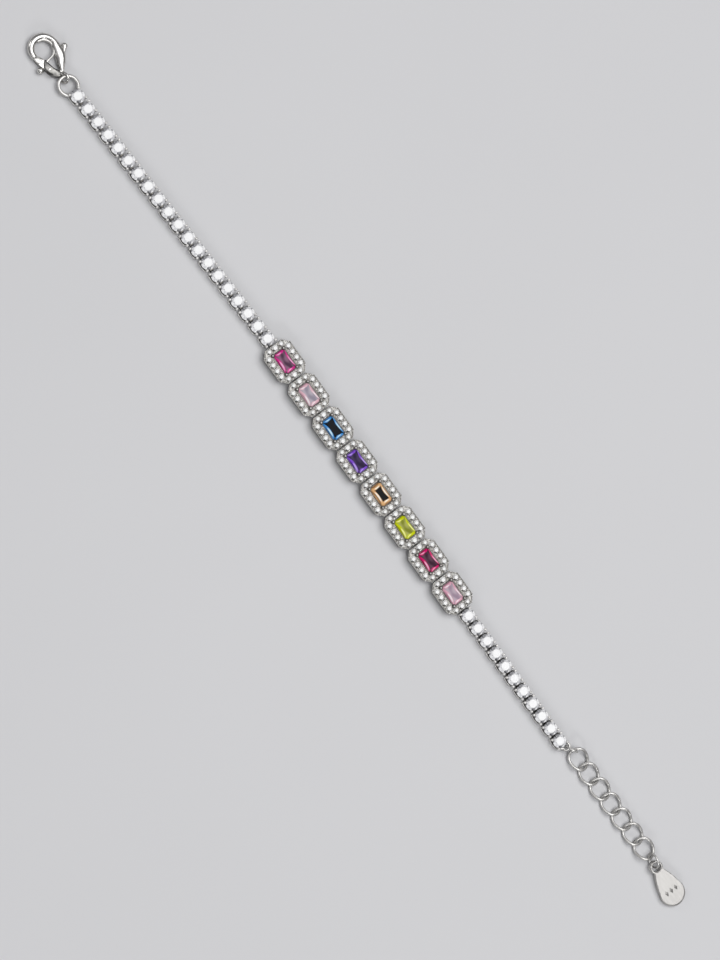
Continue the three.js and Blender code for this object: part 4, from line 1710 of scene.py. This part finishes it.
    def eye(self) -> list[Surface]:
        """Tilted ring that hangs on the head bail, and the neck that carries it.

        Returns:
            The ring and its neck.
        """
        loop = ring(2 * self.eye_radius + self.eye_wire, self.eye_wire, 40, 12)
        loop.points = tilt_about_x(loop.points, 90 - self.eye_tilt)
        neck = at_height(self.scaled([(-0.16, 0.02), (-0.12, 0.0)]), self.height / 2)
        path = smooth_path([*neck, (-self.eye_radius, 0.0, self.eye_height)], 12)
        return [loop.moved((0.0, 0.0, self.eye_height)), wire(path, self.tail, self.tail, 12)]

    def lever_parts(self) -> list[Surface]:
        """Lever: a flat boss round the pin between the cheeks, a taller nose and a thumb ball.

        Returns:
            The boss, the nose and the ball.
        """
        outline = smooth_path(self.scaled([
            (-0.595, -0.36), (-0.45, -0.325), (-0.35, -0.275), (-0.28, -0.235), (-0.225, -0.178),
            (-0.28, -0.122), (-0.4, -0.15), (-0.5, -0.178), (-0.613, -0.268),
        ]), 54, closed=True)
        low = self.cheek + self.clearance
        thin = plate(outline, low, self.height - low, 0.12)
        x, y = self.pivot()
        far = np.hypot(outline[:, 0] - x, outline[:, 1] - y) > self.boss * self.length
        tall = plate(outline[far], self.height * 0.12, self.height * 0.88, 0.22)
        turn = np.radians(np.linspace(-80, 80, 15))
        r = self.ball / 2
        ball = lathe([(r * np.cos(t), r * np.sin(t)) for t in turn], 24)
        along, across = self.scaled(self.ball_at)
        return [thin, tall, ball.moved((along, across, self.height / 2))]

    def build(self, lay: Lay, bails: Bails, finishes: Finishes) -> None:
        """Make the clasp's body and its lever, hung on the head bail.

        Args:
            lay: Places of the links.
            bails: The soldered loops.
            finishes: Materials.
        """
        centre = lay.rounds[0].ahead(bails.head_centre())
        hung = Place(*centre, lay.heading_clasp).ahead(-(bails.head_radius - self.pull))
        place = Place(*hung, lay.heading_clasp)
        parts = [self.hook_and_spine(), *self.housing(), self.inner_strip(), self.knob(),
                 *self.eye()]
        body = make_piece("lobster_clasp", [place.put(p) for p in parts],
                          [finishes.clasp_silver, finishes.brushed, finishes.wire_silver],
                          Shading.METAL)
        dress(body, "bracelet", ["clasp_body"])
        lever = make_piece("thumb_lever", [place.put(p) for p in self.lever_parts()],
                           [finishes.clasp_silver], Shading.METAL)
        dress(lever, "lever", ["clasp_lever"])


def stand(item: bpy.types.Object, right: Points, up: Points, back: Points,
          place: Points | tuple[float, ...]) -> None:
    """Link an object to the scene, with its axes and its place as the columns of its matrix.

    Args:
        item: Camera or light, which looks against its third axis.
        right: Its first axis.
        up: Its second axis.
        back: Its third axis.
        place: Its place in metres.
    """
    columns = np.eye(4)
    columns[:3] = np.column_stack([right, up, back, place])
    item.matrix_world = Matrix(columns.tolist())
    bpy.context.scene.collection.objects.link(item)


@dataclass
class Studio:
    """Pale floor, soft lights and the camera at the photograph's viewing angle."""

    distance: float = 500.0
    along_tilt: float = 5.98
    side_tilt: float = 15.0
    roll: float = 53.7
    aim: tuple[float, float] = (-0.24, -0.14)
    focal_pixels: float = 2640.0
    image_height: float = 960.0
    sensor: float = 36.0
    floor_size: float = 3.0
    floor_drop: float = 0.00002

    def camera(self) -> None:
        """Camera above the bracelet, leaning towards -Y and a little towards the clasp.

        Its own right is the roll direction made square to the line of sight, and its up is
        the line of sight crossed with its right.
        """
        along, side = np.tan(np.radians([self.along_tilt, self.side_tilt]))
        u = np.array([-along, -side, 1.0])
        u /= np.linalg.norm(u)
        roll = np.radians(self.roll)
        right = np.array([np.cos(roll), np.sin(roll), 0.0])
        right -= u * (right @ u)
        right /= np.linalg.norm(right)
        up = np.cross(u, right)
        place = (np.array([*self.aim, 0.0]) + self.distance * u) * MM
        data = bpy.data.cameras.new("photo_camera")
        data.sensor_fit = "AUTO"
        data.sensor_width = self.sensor
        data.lens = self.focal_pixels / self.image_height * self.sensor
        data.clip_start, data.clip_end = 0.01, 20.0
        camera = bpy.data.objects.new("photo_camera", data)
        stand(camera, right, up, u, place)
        bpy.context.scene.camera = camera

    def floor(self, finishes: Finishes) -> None:
        """Level sheet just under the bracelet.

        Args:
            finishes: Materials.
        """
        half = self.floor_size / 2
        mesh = bpy.data.meshes.new("floor")
        mesh.from_pydata([(-half, -half, 0.0), (half, -half, 0.0), (half, half, 0.0),
                          (-half, half, 0.0)], [], [(0, 1, 2, 3)])
        mesh.materials.append(finishes.floor)
        floor = bpy.data.objects.new("floor", mesh)
        floor.location = (0.0, 0.0, -self.floor_drop)
        bpy.context.scene.collection.objects.link(floor)

    def light(self, name: str, place: tuple[float, float, float], size: float,
              power: float) -> None:
        """Square soft light at a place in metres, aimed at the origin.

        Args:
            name: Name of the light.
            place: Its place in metres.
            size: Length of its side in metres.
            power: Power in watts.
        """
        data = bpy.data.lights.new(name, "AREA")
        data.shape = "SQUARE"
        data.size, data.energy = size, power
        lamp = bpy.data.objects.new(name, data)
        away = np.array(place) / np.linalg.norm(place)
        side = np.cross([0.0, 1.0, 0.0], away)
        side /= np.linalg.norm(side)
        up = np.cross(away, side)
        stand(lamp, side, up, away, place)

    def lights(self) -> None:
        """Wide soft box above, two small ones at the sides, and a surround that darkens low down.

        The box lights the crests of the wires and the level faces, and the dark band near the
        horizon draws the dark lines along their flanks.
        """
        self.light("overhead_box", (0.08, 0.20, 0.75), 0.66, 4.0)
        self.light("front_box", (-0.10, -0.75, 0.50), 0.26, 0.5)
        self.light("left_box", (-0.75, -0.25, 0.50), 0.22, 0.7)
        self.light("right_box", (0.70, -0.45, 0.45), 0.18, 1.2)
        world = bpy.data.worlds.new("surround")
        world.use_nodes = True
        graph = Graph(world.node_tree)
        where = graph.add("TexCoord", {}).outputs["Generated"]
        rise = graph.add("SeparateXYZ", {"Vector": where}).outputs["Z"]
        tone = graph.ramp(rise, [(0.0, (0.05, 0.05, 0.055)), (0.45, (0.07, 0.07, 0.075)),
                                 (0.80, (0.22, 0.22, 0.23)), (0.97, (0.80, 0.80, 0.82))])
        graph.feed(graph.nodes["Background"], {"Color": tone, "Strength": 1.0})
        bpy.context.scene.world = world
        bpy.context.scene.view_settings.view_transform = "Standard"


def main() -> None:
    """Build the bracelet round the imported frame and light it."""
    logging.basicConfig(level=logging.INFO, format="%(message)s")
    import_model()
    studio, finishes = Studio(), Finishes()
    studio.camera()
    lay, bails = Lay(), Bails()
    RoundLink().build(lay, finishes, {1: [bails.head()], len(lay.rounds): [bails.tail()]})
    HaloLink().build(lay, finishes)
    ring_place = Chain().build(lay, bails, finishes)
    Drop().build(ring_place, lay, finishes)
    Clasp().build(lay, bails, finishes)
    studio.floor(finishes)
    studio.lights()


if __name__ == "__main__":
    main()
